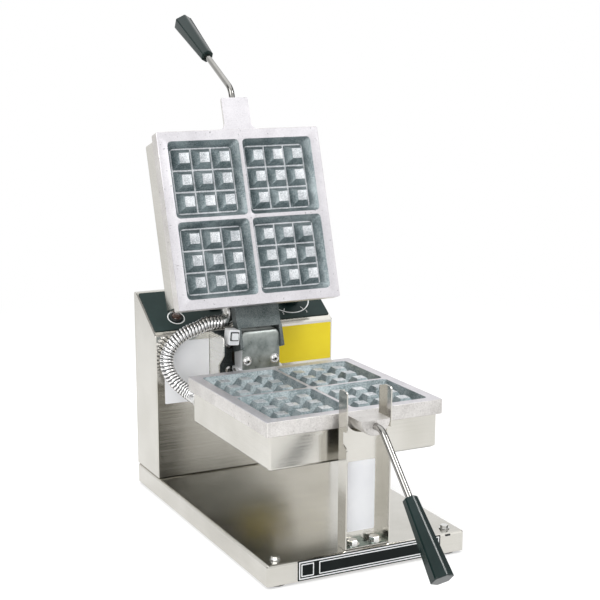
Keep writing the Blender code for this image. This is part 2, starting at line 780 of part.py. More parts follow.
# Base tray, feet and their bolts
def build_base():
    """An upturned sheet tray on four rubber feet."""
    bm = bmesh.new()
    half = BASE_WIDTH / 2
    add_block(bm, (-half, 0, FOOT_DROP), (half, BASE_DEPTH, BASE_TOP))
    floor = [face for face in bm.faces if face.normal.z < -math.cos(SHARP_ANGLE)]
    bmesh.ops.delete(bm, geom=floor, context="FACES_ONLY")
    mesh = bpy.data.meshes.new("base_pan")
    bm.to_mesh(mesh)
    bm.free()
    base = place("base_pan", mesh, MACHINE, STAINLESS, (0, 0, BASE_TOP))
    thicken(bevel(base, BASE_BEND, BEND_SEGMENTS), BASE_SHEET)

    feet = corners_of(half - FOOT_INSET_X, BASE_DEPTH / 2 - FOOT_INSET_Y, (0, BASE_DEPTH / 2))
    seat = BASE_TOP - BASE_SHEET - FIT
    bore = FOOT_BOLT_RADIUS + FIT
    waist_share = 0.8
    profile = [
        (0, BASE_TOP - FOOT_BOLT_REACH - FIT),
        (bore, BASE_TOP - FOOT_BOLT_REACH - FIT),
        (bore, seat),
        (FOOT_RADIUS - FOOT_FLARE, seat),
        (FOOT_RADIUS - FOOT_FLARE, FOOT_DROP),
        (FOOT_RADIUS, FOOT_DROP * waist_share),
        (FOOT_RADIUS, 0),
        (0, 0),
    ]
    foot = turned("pattern_foot", profile, None, None, (0, 0, 0), (0, 0, 1), sides=HOLE_SIDES)
    ends = ("front_left", "back_left", "front_right", "back_right")
    up = (0, 0, 1)
    spots = [(f"rubber_foot_{end}", (x, y, 0), up) for end, (x, y) in zip(ends, feet)]
    copies(foot, spots, MACHINE, RUBBER)
    bolt = hex_bolt(FOOT_BOLT_HEAD, FOOT_BOLT_HEAD_HEIGHT, FOOT_BOLT_RADIUS, FOOT_BOLT_REACH)
    spots = [(f"foot_bolt_{end}", (x, y, BASE_TOP + FIT), up) for end, (x, y) in zip(ends, feet)]
    copies(bolt, spots, MACHINE, PLATED)

    low, high = BASE_TOP - BASE_SHEET - OVERRUN, BASE_TOP + OVERRUN
    holes = [((x, y, low), (x, y, high), bore) for x, y in feet]
    holes += [((x, y, low), (x, y, high), bore) for x, y in post_bolt_places()]
    bores(base, "base_holes", holes, MACHINE)


def post_bolt_places():
    """Where the two bolts through the front post's foot stand."""
    y = POST_SETBACK + POST_BOLT_SETBACK
    return [(-POST_BOLT_X, y), (POST_BOLT_X, y)]


# Housing with its sloped panel, its cover and the control pieces
def housing_side(back):
    """The housing's side outline, from the foot of its front wall round to the back."""
    return [
        (HOUSING_FRONT, HOUSING_FOOT),
        (HOUSING_FRONT, PANEL_START_Z),
        (BASE_DEPTH - HOUSING_TOP_DEPTH, HOUSING_TOP),
        (back, HOUSING_TOP),
        (back, HOUSING_FOOT),
    ]


def build_housing():
    """A bent sheet shell with lips for its cover and base, and the black control plate."""
    half = BASE_WIDTH / 2
    shell = outline("housing_shell", [housing_side(SHELL_BACK)], "YZ", -half, half, MACHINE, STAINLESS)
    inset_lip(shell.data, [((0, 1, 0), HOUSING_LIP), ((0, 0, -1), HOUSING_LIP)])
    thicken(bevel(shell, HOUSING_BEND), HOUSING_SHEET)

    plate_half = half - PANEL_SIDE_MARGIN
    plate_end = PANEL_LENGTH - PANEL_UPPER_MARGIN
    corners = [
        (-plate_half, PANEL_LOWER_MARGIN, PANEL_CORNER),
        (plate_half, PANEL_LOWER_MARGIN, PANEL_CORNER),
        (plate_half, plate_end, PANEL_CORNER),
        (-plate_half, plate_end, PANEL_CORNER),
    ]
    top = FIT + PANEL_THICKNESS
    plate = outline("control_panel", [rounded(corners)], "XY", FIT, top, PANEL, PANEL_BLACK)
    below = -HOUSING_SHEET - OVERRUN
    above = top + OVERRUN
    rods = [
        ((LAMP_X, LAMP_UP, below), (LAMP_X, LAMP_UP, above), LAMP_BARREL + FIT),
        ((TIMER_X, TIMER_UP, below), (TIMER_X, TIMER_UP, above), TIMER_NECK_RADIUS + FIT),
    ]
    wide, long = SWITCH_WIDTH / 2 - SWITCH_BEZEL + FIT, SWITCH_LENGTH / 2 - SWITCH_BEZEL + FIT
    window = block(
        "switch_window",
        (SWITCH_X - wide, SWITCH_UP - long, below),
        (SWITCH_X + wide, SWITCH_UP + long, above),
        PANEL,
    )
    for piece in (shell, plate):
        cut(bores(piece, f"{piece.name}_bores", rods, PANEL), window)
    bearing_holes(shell, HOUSING_FRONT, HOUSING_SHEET)


def bearing_bore(piece, front, thickness):
    """The hole for the bearing bush through one upright sheet."""
    rod = ((0, front - OVERRUN, 0), (0, front + thickness + OVERRUN, 0), BUSH_OUTSIDE + FIT)
    bores(piece, f"{piece.name}_bush_bore", [rod], HEAD, FINE_SIDES)


def bearing_holes(piece, front, thickness):
    """Holes for the bearing bush and the bracket bolts through one upright sheet."""
    bearing_bore(piece, front, thickness)
    low, high = front - OVERRUN, front + thickness + OVERRUN
    places = corners_of(BRACKET_BOLT_X, BRACKET_BOLT_Z)
    rods = [((x, low, z), (x, high, z), BRACKET_BOLT_RADIUS + FIT) for x, z in places]
    bores(piece, f"{piece.name}_bolt_bores", rods, HEAD)


def build_cover():
    """The flat back cover with its louvre slots, screws and cord gland."""
    half = BASE_WIDTH / 2 - FIT
    low, high = HOUSING_FOOT + FIT, HOUSING_TOP - FIT
    spots = ((-half, low), (half, low), (half, high), (-half, high))
    corners = [(x, z, HOUSING_BEND) for x, z in spots]
    loops = [rounded(corners)]
    first_x = -(VENT_COLUMNS - 1) / 2 * VENT_PITCH
    for row in range(VENT_ROWS):
        top = high - VENT_TOP_MARGIN - row * (VENT_HEIGHT + VENT_ROW_GAP)
        for column in range(VENT_COLUMNS):
            x = first_x + column * VENT_PITCH
            edge = VENT_WIDTH / 2
            slot = [(x - edge, top - VENT_HEIGHT, edge), (x + edge, top - VENT_HEIGHT, edge)]
            slot += [(x + edge, top, edge), (x - edge, top, edge)]
            loops.append(rounded(slot, steps=1))
    loops = [loops[0]] + [list(reversed(loop)) for loop in loops[1:]]
    cover = outline("back_cover", loops, "XZ", COVER_FRONT, BASE_DEPTH, MACHINE, STAINLESS)

    inset = HOUSING_LIP / 2
    heights = (low + inset, (low + high) / 2, high - inset)
    places = [(side * (half - inset), z) for side in (-1, 1) for z in heights]
    screw = dome_screw(COVER_SCREW_HEAD, COVER_SCREW_DOME, COVER_SCREW_SHANK, COVER_SCREW_REACH, SCREW_SIDES)
    spots = [((x, BASE_DEPTH - FIT, z), (0, 1, 0)) for x, z in places]
    fuse(cover, "back_cover_screws", screw, spots, MACHINE)
    back, front = BASE_DEPTH + OVERRUN, SHELL_BACK - HOUSING_SHEET - OVERRUN
    rods = [((x, front, z), (x, back, z), COVER_SCREW_SHANK + FIT) for x, z in places]
    bores(bpy.data.objects["housing_shell"], "shell_screw_holes", rods, MACHINE)

    gland_z = BASE_TOP + GLAND_HEIGHT
    rod = ((GLAND_X, front, gland_z), (GLAND_X, back, gland_z), GLAND_BODY + FIT)
    bores(cover, "gland_hole", [rod], MACHINE)
    outside = BASE_DEPTH + FIT
    inside = COVER_FRONT - FIT
    nose = outside + GLAND_REACH
    taper_share = 0.75
    profile = [
        (GLAND_BORE, nose),
        (GLAND_BODY * taper_share, nose),
        (GLAND_BODY, outside + GLAND_COLLAR),
        (GLAND_RADIUS, outside + GLAND_COLLAR),
        (GLAND_RADIUS, outside),
        (GLAND_BODY, outside),
        (GLAND_BODY, inside),
        (GLAND_RADIUS, inside),
        (GLAND_RADIUS, inside - GLAND_NUT_THICKNESS),
        (GLAND_BORE, inside - GLAND_NUT_THICKNESS),
    ]
    turned("cord_gland", profile, MACHINE, MOULDING, (GLAND_X, 0, gland_z), (0, 1, 0), closed=True)


def build_controls():
    """Ready lamp, timer with its knob, and the rocker switch, all square to the slope."""
    top = 2 * FIT + PANEL_THICKNESS
    under = -HOUSING_SHEET - FIT
    profile = [
        (LAMP_LENS_RADIUS + FIT, top + LAMP_BEZEL_HEIGHT),
        (LAMP_RADIUS - LAMP_BEZEL_HEIGHT / 3, top + LAMP_BEZEL_HEIGHT),
        (LAMP_RADIUS, top + LAMP_BEZEL_HEIGHT / 2),
        (LAMP_RADIUS, top),
        (LAMP_LENS_RADIUS + FIT, top),
    ]
    turned("lamp_bezel", profile, PANEL, PLATED, (LAMP_X, LAMP_UP, 0), (0, 0, 1), closed=True)
    crown_shares = [(0, 1), (0.6, 0.92), (0.9, 0.78), (1, 0.6)]
    rise = LAMP_LENS_HEIGHT
    profile = [(LAMP_LENS_RADIUS * across, top + rise * up) for across, up in crown_shares]
    profile += [(LAMP_LENS_RADIUS, -LAMP_REACH), (0, -LAMP_REACH)]
    turned("ready_lamp", profile, PANEL, LENS, (LAMP_X, LAMP_UP, 0), (0, 0, 1))

    half = TIMER_BODY / 2
    body = block(
        "timer_body",
        (TIMER_X - half, TIMER_UP - half, under - TIMER_BODY_DEPTH),
        (TIMER_X + half, TIMER_UP + half, under),
        PANEL,
        MOULDING,
        (TIMER_X, TIMER_UP, 0),
    )
    shaft_end = top + TIMER_SHAFT_REACH
    inside = (TIMER_X, TIMER_UP, under - OVERRUN)
    neck = bars("timer_neck", [(inside, (TIMER_X, TIMER_UP, top), TIMER_NECK_RADIUS)], PANEL)
    shaft = bars("timer_shaft", [(inside, (TIMER_X, TIMER_UP, shaft_end), TIMER_SHAFT_RADIUS)], PANEL)
    join(join(body, neck), shaft)

    foot = top + KNOB_LIFT
    bore = TIMER_SHAFT_RADIUS + FIT
    profile = [
        (0, foot + KNOB_HEIGHT - KNOB_GRIP_HEIGHT / 2),
        (KNOB_TOP_RADIUS, foot + KNOB_HEIGHT - KNOB_GRIP_HEIGHT / 2),
        (KNOB_TOP_RADIUS + KNOB_SKIRT_HEIGHT / 4, foot + KNOB_SKIRT_HEIGHT),
        (KNOB_RADIUS, foot + KNOB_SKIRT_HEIGHT / 2),
        (KNOB_RADIUS, foot),
        (0, foot),
    ]
    knob = turned("timer_knob", profile, PANEL, PHENOLIC, (TIMER_X, TIMER_UP, 0), (0, 0, 1), sides=FINE_SIDES)
    reach = (KNOB_TOP_RADIUS + KNOB_RADIUS) / 2
    bar = block(
        "knob_grip",
        (TIMER_X - KNOB_GRIP_WIDTH / 2, TIMER_UP - reach, foot + KNOB_SKIRT_HEIGHT / 2),
        (TIMER_X + KNOB_GRIP_WIDTH / 2, TIMER_UP + reach, foot + KNOB_HEIGHT),
        PANEL,
    )
    join(knob, bevel(bar, KNOB_GRIP_WIDTH / 5, BEND_SEGMENTS))
    socket = [((TIMER_X, TIMER_UP, foot - OVERRUN), (TIMER_X, TIMER_UP, foot + KNOB_BORE_DEPTH), bore)]
    bores(knob, "knob_socket", socket, PANEL)
    build_switch(top)


def build_switch(seat):
    """A rocker in its bezel; the rocker is part of a round drum that turns in a dry pocket."""
    half_width, half_length = SWITCH_WIDTH / 2, SWITCH_LENGTH / 2
    lip = seat + SWITCH_BEZEL
    switch = block(
        "power_switch",
        (SWITCH_X - half_width, SWITCH_UP - half_length, seat),
        (SWITCH_X + half_width, SWITCH_UP + half_length, lip),
        PANEL,
        MOULDING,
        (SWITCH_X, SWITCH_UP, 0),
    )
    well_width, well_length = half_width - SWITCH_BEZEL, half_length - SWITCH_BEZEL
    well = block(
        "switch_well",
        (SWITCH_X - well_width, SWITCH_UP - well_length, -SWITCH_BODY_DEPTH),
        (SWITCH_X + well_width, SWITCH_UP + well_length, lip - SWITCH_BEZEL / 2),
        PANEL,
    )
    pocket_width = well_width - SWITCH_WALL
    pocket_length = well_length - SWITCH_WALL / 2
    pocket = block(
        "switch_pocket",
        (SWITCH_X - pocket_width, SWITCH_UP - pocket_length, seat - ROCKER_RADIUS - 2 * FIT),
        (SWITCH_X + pocket_width, SWITCH_UP + pocket_length, lip + OVERRUN),
        PANEL,
    )
    cut(join(switch, well), pocket)

    radius = pocket_length - 2 * FIT
    drum = arc((0, 0), radius, math.pi + ROCKER_TILT, 2 * math.pi - ROCKER_TILT, DRUM_STEPS)
    top = [(radius, ROCKER_RISE), (0, ROCKER_RISE / 2), (-radius, ROCKER_RISE)]
    thick = pocket_width - ROCKER_SIDE_GAP
    rocker = outline("switch_rocker", [[*drum, *top]], "YZ", -thick, thick, PANEL, PHENOLIC)
    rocker.location = (SWITCH_X, SWITCH_UP, seat)
    rocker.rotation_euler = (ROCKER_TILT, 0, 0)


def build_terminals():
    """A barrier terminal block on a pad in the foot of the housing."""
    start = TERMINAL_X - TERMINAL_LENGTH / 2
    front = SHELL_BACK - HOUSING_LIP - 2 * FIT - TERMINAL_DEPTH
    strip = block(
        "terminal_block",
        (start, front, HOUSING_FOOT),
        (start + TERMINAL_LENGTH, front + TERMINAL_DEPTH, HOUSING_FOOT + TERMINAL_HEIGHT),
        MACHINE,
        MOULDING,
    )
    gap = (TERMINAL_LENGTH - (TERMINAL_BARRIERS + 1) * TERMINAL_BARRIER) / TERMINAL_BARRIERS
    for index in range(TERMINAL_BARRIERS):
        x = start + TERMINAL_BARRIER + index * (gap + TERMINAL_BARRIER)
        slot = block(
            f"terminal_slot_{index}",
            (x, front - OVERRUN, HOUSING_FOOT + TERMINAL_HEIGHT - TERMINAL_STEP),
            (x + gap, front + TERMINAL_DEPTH + OVERRUN, HOUSING_FOOT + TERMINAL_HEIGHT + OVERRUN),
            MACHINE,
        )
        cut(strip, slot)


# Front post: a folded channel with a cradle for the round neck
def build_post():
    """The sheet post whose forked back plate carries the neck and whose sides are waisted."""
    half = POST_WIDTH / 2
    foot = BASE_TOP + FIT - AXIS_Z
    front, back = POST_SETBACK, POST_BACK
    waist = front + POST_WAIST_STEP
    profile = [
        (back, foot, 0),
        (back, POST_EAR, POST_CORNER),
        (front, POST_EAR, POST_CORNER),
        (front, -POST_WAIST_HIGH, POST_CORNER / 2),
        (waist, -POST_WAIST_HIGH, POST_CORNER / 2),
        (waist, -POST_WAIST_LOW, POST_CORNER / 2),
        (front, -POST_WAIST_LOW - POST_CORNER, POST_CORNER),
        (front, foot, 0),
    ]
    post = outline("front_post", [rounded(profile)], "YZ", -half, half, HEAD, STAINLESS)
    inner = half - POST_SHEET
    hollow = block(
        "post_hollow",
        (-inner, front - OVERRUN, foot + POST_SHEET),
        (inner, back - POST_SHEET, POST_EAR + OVERRUN),
        HEAD,
    )
    notch = arc((0, 0), POST_NOTCH_RADIUS, math.pi, 2 * math.pi, POST_NOTCH_STEPS)
    mouth = POST_EAR + OVERRUN
    loop = [*notch, (POST_NOTCH_RADIUS, mouth), (-POST_NOTCH_RADIUS, mouth)]
    cradle = outline("post_cradle", [loop], "XZ", front - OVERRUN, back + OVERRUN, HEAD)
    cut(cut(post, hollow), cradle)
    places = post_bolt_places()
    low, high = BASE_TOP - OVERRUN, BASE_TOP + POST_SHEET + OVERRUN
    rods = [((x, y, low), (x, y, high), FOOT_BOLT_RADIUS + FIT) for x, y in places]
    bores(post, "post_holes", rods, MACHINE)
    seat = BASE_TOP + POST_SHEET + 2 * FIT
    reach = FOOT_BOLT_REACH / 2
    bolt = hex_bolt(FOOT_BOLT_HEAD, FOOT_BOLT_HEAD_HEIGHT, FOOT_BOLT_RADIUS, reach)
    spots = [(f"post_bolt_{side}", (x, y, seat), (0, 0, 1)) for side, (x, y) in zip(SIDES, places)]
    copies(bolt, spots, MACHINE, PLATED)


# Bracket with the bearing for the head
def build_bracket():
    """The bracket on the housing's front, deeper on its left, with the bearing behind it."""
    foot = -BRACKET_DROP
    near = BRACKET_BACK - BRACKET_FLANGE
    ear = BRACKET_BACK - BRACKET_EAR
    knee = BRACKET_TOP - BRACKET_EAR_DROP
    profile = [
        (BRACKET_BACK, foot, 0),
        (BRACKET_BACK, BRACKET_TOP, 0),
        (ear, BRACKET_TOP, BRACKET_CORNER),
        (ear, knee, BRACKET_CORNER / 2),
        (near, knee - BRACKET_EAR_SLOPE, BRACKET_CORNER),
        (near, foot, BRACKET_CORNER),
    ]
    left, right = -BRACKET_LEFT, BRACKET_RIGHT
    bracket = outline("trunnion_bracket", [rounded(profile)], "YZ", left, right, HEAD, STAINLESS)
    low, high = foot - OVERRUN, BRACKET_TOP + OVERRUN
    hollow = block(
        "bracket_hollow",
        (left + BRACKET_SHEET, ear - OVERRUN, low),
        (right - BRACKET_SHEET, BRACKET_WEB, high),
        HEAD,
    )
    cut(bracket, hollow)
    trim = block(
        "bracket_trim",
        (right - BRACKET_SHEET - OVERRUN, ear - OVERRUN, low),
        (right + OVERRUN, BRACKET_BACK - BRACKET_SHORT_FLANGE, high),
        HEAD,
    )
    cut(bracket, trim)
    bearing_holes(bracket, BRACKET_WEB, BRACKET_SHEET)

    half_w, half_h = BEARING_PLATE_WIDTH / 2, BEARING_PLATE_HEIGHT / 2
    low, high = (-half_w, PLATE_FRONT, -half_h), (half_w, PLATE_BACK, half_h)
    plate = block("bearing_plate", low, high, HEAD, PLATED)
    bearing_bore(plate, PLATE_FRONT, BEARING_PLATE_THICKNESS)
    reach = PLATE_BACK - BRACKET_WEB - FIT
    bolt = hex_bolt(BRACKET_BOLT_HEAD, BRACKET_BOLT_HEAD_HEIGHT, BRACKET_BOLT_RADIUS, reach)
    places = corners_of(BRACKET_BOLT_X, BRACKET_BOLT_Z)
    fuse(plate, "bracket_bolts", bolt, [((x, BRACKET_WEB - FIT, z), (0, -1, 0)) for x, z in places], HEAD)
    profile = [
        (BUSH_BORE, -BUSH_FRONT),
        (BUSH_FLANGE_RADIUS, -BUSH_FRONT),
        (BUSH_FLANGE_RADIUS, -BUSH_FRONT - BUSH_FLANGE_THICKNESS),
        (BUSH_OUTSIDE, -BUSH_FRONT - BUSH_FLANGE_THICKNESS),
        (BUSH_OUTSIDE, -BUSH_BACK),
        (BUSH_BORE, -BUSH_BACK),
    ]
    turned("bearing_bush", profile, HEAD, BRONZE, (0, 0, 0), (0, -1, 0), closed=True, sides=FINE_SIDES)


def build_trunnion():
    """The flanged hollow shaft that carries the head, and its retaining collar."""
    half = TRUNNION_FLANGE / 2
    low, high = (-half, TRUNNION_FRONT, -half), (half, TRUNNION_SHOULDER, half)
    flange = block("trunnion_shaft", low, high, HEAD, PLATED)
    shoulder_end = BUSH_FRONT - FIT
    seat = TRUNNION_SHOULDER - TRUNNION_FLANGE_THICKNESS / 2
    rod = ((0, seat, 0), (0, shoulder_end, 0), TRUNNION_SHOULDER_RADIUS)
    shoulder = bars("trunnion_shoulder", [rod], HEAD, sides=FINE_SIDES)
    rod = ((0, seat, 0), (0, TRUNNION_END, 0), TRUNNION_RADIUS)
    shaft = bars("trunnion_tube", [rod], HEAD, sides=FINE_SIDES)
    join(join(flange, shoulder), shaft)
    rod = ((0, TRUNNION_SHOULDER, 0), (0, TRUNNION_END + OVERRUN, 0), TRUNNION_BORE)
    bores(flange, "trunnion_bore", [rod], HEAD, ROUND_SIDES)
    bores(flange, "trunnion_screw_bores", hinge_screw_bores(TRUNNION_FRONT, TRUNNION_SHOULDER), HEAD)
    bore = TRUNNION_RADIUS + FIT
    profile = [
        (bore, -COLLAR_FRONT),
        (COLLAR_RADIUS, -COLLAR_FRONT),
        (COLLAR_RADIUS, -COLLAR_FRONT - COLLAR_THICKNESS),
        (bore, -COLLAR_FRONT - COLLAR_THICKNESS),
    ]
    turned("trunnion_collar", profile, HEAD, PLATED, (0, 0, 0), (0, -1, 0), closed=True, sides=FINE_SIDES)


def hinge_screw_bores(front, back):
    """Bores for the two screws that hold the hinge block on the trunnion."""
    reach = HINGE_SCREW_SPACING / 2
    start, end = front - OVERRUN, back + OVERRUN
    bore = HINGE_SCREW_SHANK + FIT
    return [((x, start, HINGE_SCREW_ABOVE), (x, end, HINGE_SCREW_ABOVE), bore) for x in (-reach, reach)]


# Hinge: block, pin and the two channel arms
def build_hinge():
    """The block with its round top, its screws, the pin and both arms."""
    half = BLOCK_WIDTH / 2
    top = arc((PIN_BACK, PIN_ABOVE_AXIS), BLOCK_RADIUS, 0, math.pi, BLOCK_ARC_STEPS)
    loop = [*top, (BLOCK_FRONT, -BLOCK_BELOW_AXIS), (BLOCK_BACK, -BLOCK_BELOW_AXIS)]
    hinge = outline("hinge_block", [loop], "YZ", -half, half, HEAD, CAST)
    pin_bore = ((-half - OVERRUN, PIN_BACK, PIN_ABOVE_AXIS), (half + OVERRUN, PIN_BACK, PIN_ABOVE_AXIS))
    bores(hinge, "block_pin_bore", [(*pin_bore, PIN_RADIUS + FIT)], HEAD)
    bores(hinge, "block_screw_bores", hinge_screw_bores(BLOCK_FRONT, BLOCK_BACK), HEAD)
    reach = BLOCK_BACK - BLOCK_FRONT + TRUNNION_FLANGE_THICKNESS
    screw = dome_screw(HINGE_SCREW_HEAD, HINGE_SCREW_DOME, HINGE_SCREW_SHANK, reach)
    side, seat = HINGE_SCREW_SPACING / 2, BLOCK_FRONT - FIT
    level = HINGE_SCREW_ABOVE
    spots = [(f"hinge_screw_{end}", (sign * side, seat, level), (0, -1, 0)) for end, sign in ENDS]
    copies(screw, spots, HEAD, PLATED)

    deep, clear = CHEEK_OUTSIDE + FIT - CROSS_BOLT_REACH, BLOCK_WIDTH
    level = -CROSS_BOLT_BELOW
    rods = [((sign * deep, PIN_BACK, level), (sign * clear, PIN_BACK, level)) for sign in (-1, 1)]
    holes = [(*rod, CROSS_BOLT_RADIUS + FIT) for rod in rods]
    bores(hinge, "block_cross_bores", holes, HEAD)
    bolt = hex_bolt(CROSS_BOLT_HEAD, CROSS_BOLT_HEAD_HEIGHT, CROSS_BOLT_RADIUS, CROSS_BOLT_REACH - FIT)
    seat = CHEEK_OUTSIDE + FIT
    spots = [(f"lower_arm_bolt_{end}", (sign * seat, PIN_BACK, level), (sign, 0, 0)) for end, sign in ENDS]
    copies(bolt, spots, HEAD, PLATED)
    bores(build_lower_arm(), "lower_arm_cross_bores", holes, HEAD)

    length = CHEEK_OUTSIDE + FIT
    profile = [
        (0, length + PIN_HEAD_THICKNESS),
        (PIN_HEAD_RADIUS, length + PIN_HEAD_THICKNESS),
        (PIN_HEAD_RADIUS, length),
        (PIN_RADIUS, length),
        (PIN_RADIUS, -length),
        (PIN_HEAD_RADIUS, -length),
        (PIN_HEAD_RADIUS, -length - PIN_HEAD_THICKNESS),
        (0, -length - PIN_HEAD_THICKNESS),
    ]
    turned("hinge_pin", profile, PIVOT, PLATED, (0, 0, 0), (1, 0, 0))
    build_upper_arm()


def arm_screws(name, arm, parent, up):
    """The screws that hold an arm's flange on its pan, and their holes in the arm."""
    side = ARM_SCREW_SPACING / 2
    z = up * (ARM_UNDERSIDE + ARM_SCREW_UP)
    seat = PAN_BACK + 2 * FIT + ARM_FLANGE_THICKNESS
    reach = seat - PAN_BACK + PAN_SHEET + ARM_SCREW_REACH
    screw = dome_screw(ARM_SCREW_HEAD, ARM_SCREW_DOME, ARM_SCREW_SHANK, reach)
    spots = [(f"{name}_{end}", (sign * side, seat, z), (0, 1, 0)) for end, sign in ENDS]
    copies(screw, spots, parent, PLATED)
    start, end = PAN_BACK - OVERRUN, seat + OVERRUN
    rods = [((x, start, z), (x, end, z), ARM_SCREW_SHANK + FIT) for x in (-side, side)]
    bores(arm, f"{arm.name}_screw_holes", rods, parent)


def build_upper_arm():
    """A channel, open upwards when shut, with lugs round the pin."""
    root = PAN_BACK + FIT
    low, flange_top = ARM_UNDERSIDE, ARM_UNDERSIDE + ARM_FLANGE_HEIGHT
    lug_front, lug_back = PIN_BACK - CHEEK_FRONT, PIN_BACK + CHEEK_BACK
    lug_low, lug_top = PIN_ABOVE_AXIS - CHEEK_BELOW, PIN_ABOVE_AXIS + CHEEK_ABOVE
    profile = [
        (root, low, 0),
        (lug_front - CHEEK_RISE, low, 0),
        (lug_front, lug_low, CHEEK_CORNER),
        (lug_back, lug_low, CHEEK_CORNER),
        (lug_back, lug_top, CHEEK_CORNER),
        (lug_front, lug_top, CHEEK_CORNER),
        (lug_front - CHEEK_RISE, flange_top, 0),
        (root, flange_top, 0),
    ]
    wide = CHEEK_OUTSIDE
    arm = outline("upper_arm", [rounded(profile)], "YZ", -wide, wide, UPPER, DARK_CAST, PIN_LOCAL)
    tray = block(
        "upper_arm_tray",
        (-CHEEK_INSIDE, root + ARM_FLANGE_THICKNESS, low + ARM_WEB),
        (CHEEK_INSIDE, lug_back + OVERRUN, lug_top + OVERRUN),
        UPPER,
    )
    fork = block(
        "upper_arm_fork",
        (-CHEEK_INSIDE, BLOCK_FRONT - ARM_END_GAP, lug_low - OVERRUN),
        (CHEEK_INSIDE, lug_back + OVERRUN, lug_top + OVERRUN),
        UPPER,
    )
    cut(cut(arm, tray), fork)
    far = CHEEK_OUTSIDE + OVERRUN
    bore = ((-far, PIN_BACK, PIN_ABOVE_AXIS), (far, PIN_BACK, PIN_ABOVE_AXIS), PIN_RADIUS + FIT)
    bores(arm, "upper_arm_pin_bore", [bore], UPPER)
    arm_screws("upper_arm_screw", arm, UPPER, 1)


def build_lower_arm():
    """The same channel the other way up, bolted to the sides of the hinge block."""
    root = PAN_BACK + FIT
    high, flange_low = -ARM_UNDERSIDE, -ARM_UNDERSIDE - ARM_FLANGE_HEIGHT
    shelf = GRID_BACK + FIT
    lap_start = BLOCK_BACK - LOWER_CHEEK_LAP
    lap_end = BLOCK_BACK - CHEEK_CORNER
    profile = [
        (root, flange_low, 0),
        (lap_end, -BLOCK_BELOW_AXIS, CHEEK_CORNER),
        (lap_end, -LOWER_CHEEK_TOP, CHEEK_CORNER),
        (lap_start, -LOWER_CHEEK_TOP, CHEEK_CORNER),
        (shelf, high, 0),
        (root, high, 0),
    ]
    arm = outline("lower_arm", [rounded(profile)], "YZ", -CHEEK_OUTSIDE, CHEEK_OUTSIDE, HEAD, DARK_CAST)
    tray = block(
        "lower_arm_tray",
        (-CHEEK_INSIDE, root + ARM_FLANGE_THICKNESS, -BLOCK_BELOW_AXIS - OVERRUN),
        (CHEEK_INSIDE, BLOCK_BACK, high - ARM_WEB),
        HEAD,
    )
    upper_tray = block(
        "lower_arm_top",
        (-CHEEK_INSIDE, shelf, high),
        (CHEEK_INSIDE, BLOCK_BACK, OVERRUN),
        HEAD,
    )
    fork = block(
        "lower_arm_fork",
        (-CHEEK_INSIDE, BLOCK_FRONT - FIT, -BLOCK_BELOW_AXIS - OVERRUN),
        (CHEEK_INSIDE, BLOCK_BACK, OVERRUN),
        HEAD,
    )
    cut(cut(cut(arm, tray), upper_tray), fork)
    arm_screws("lower_arm_screw", arm, HEAD, -1)
    return arm


# The two grid castings: four pocketed squares, each with nine pegs
def cavity_centres():
    """Middles of the four pockets, in the grid's own plane."""
    step = (CAVITY_SIZE + CAVITY_DIVIDER) / 2
    return corners_of(step, step, (0, GRID_MIDDLE))


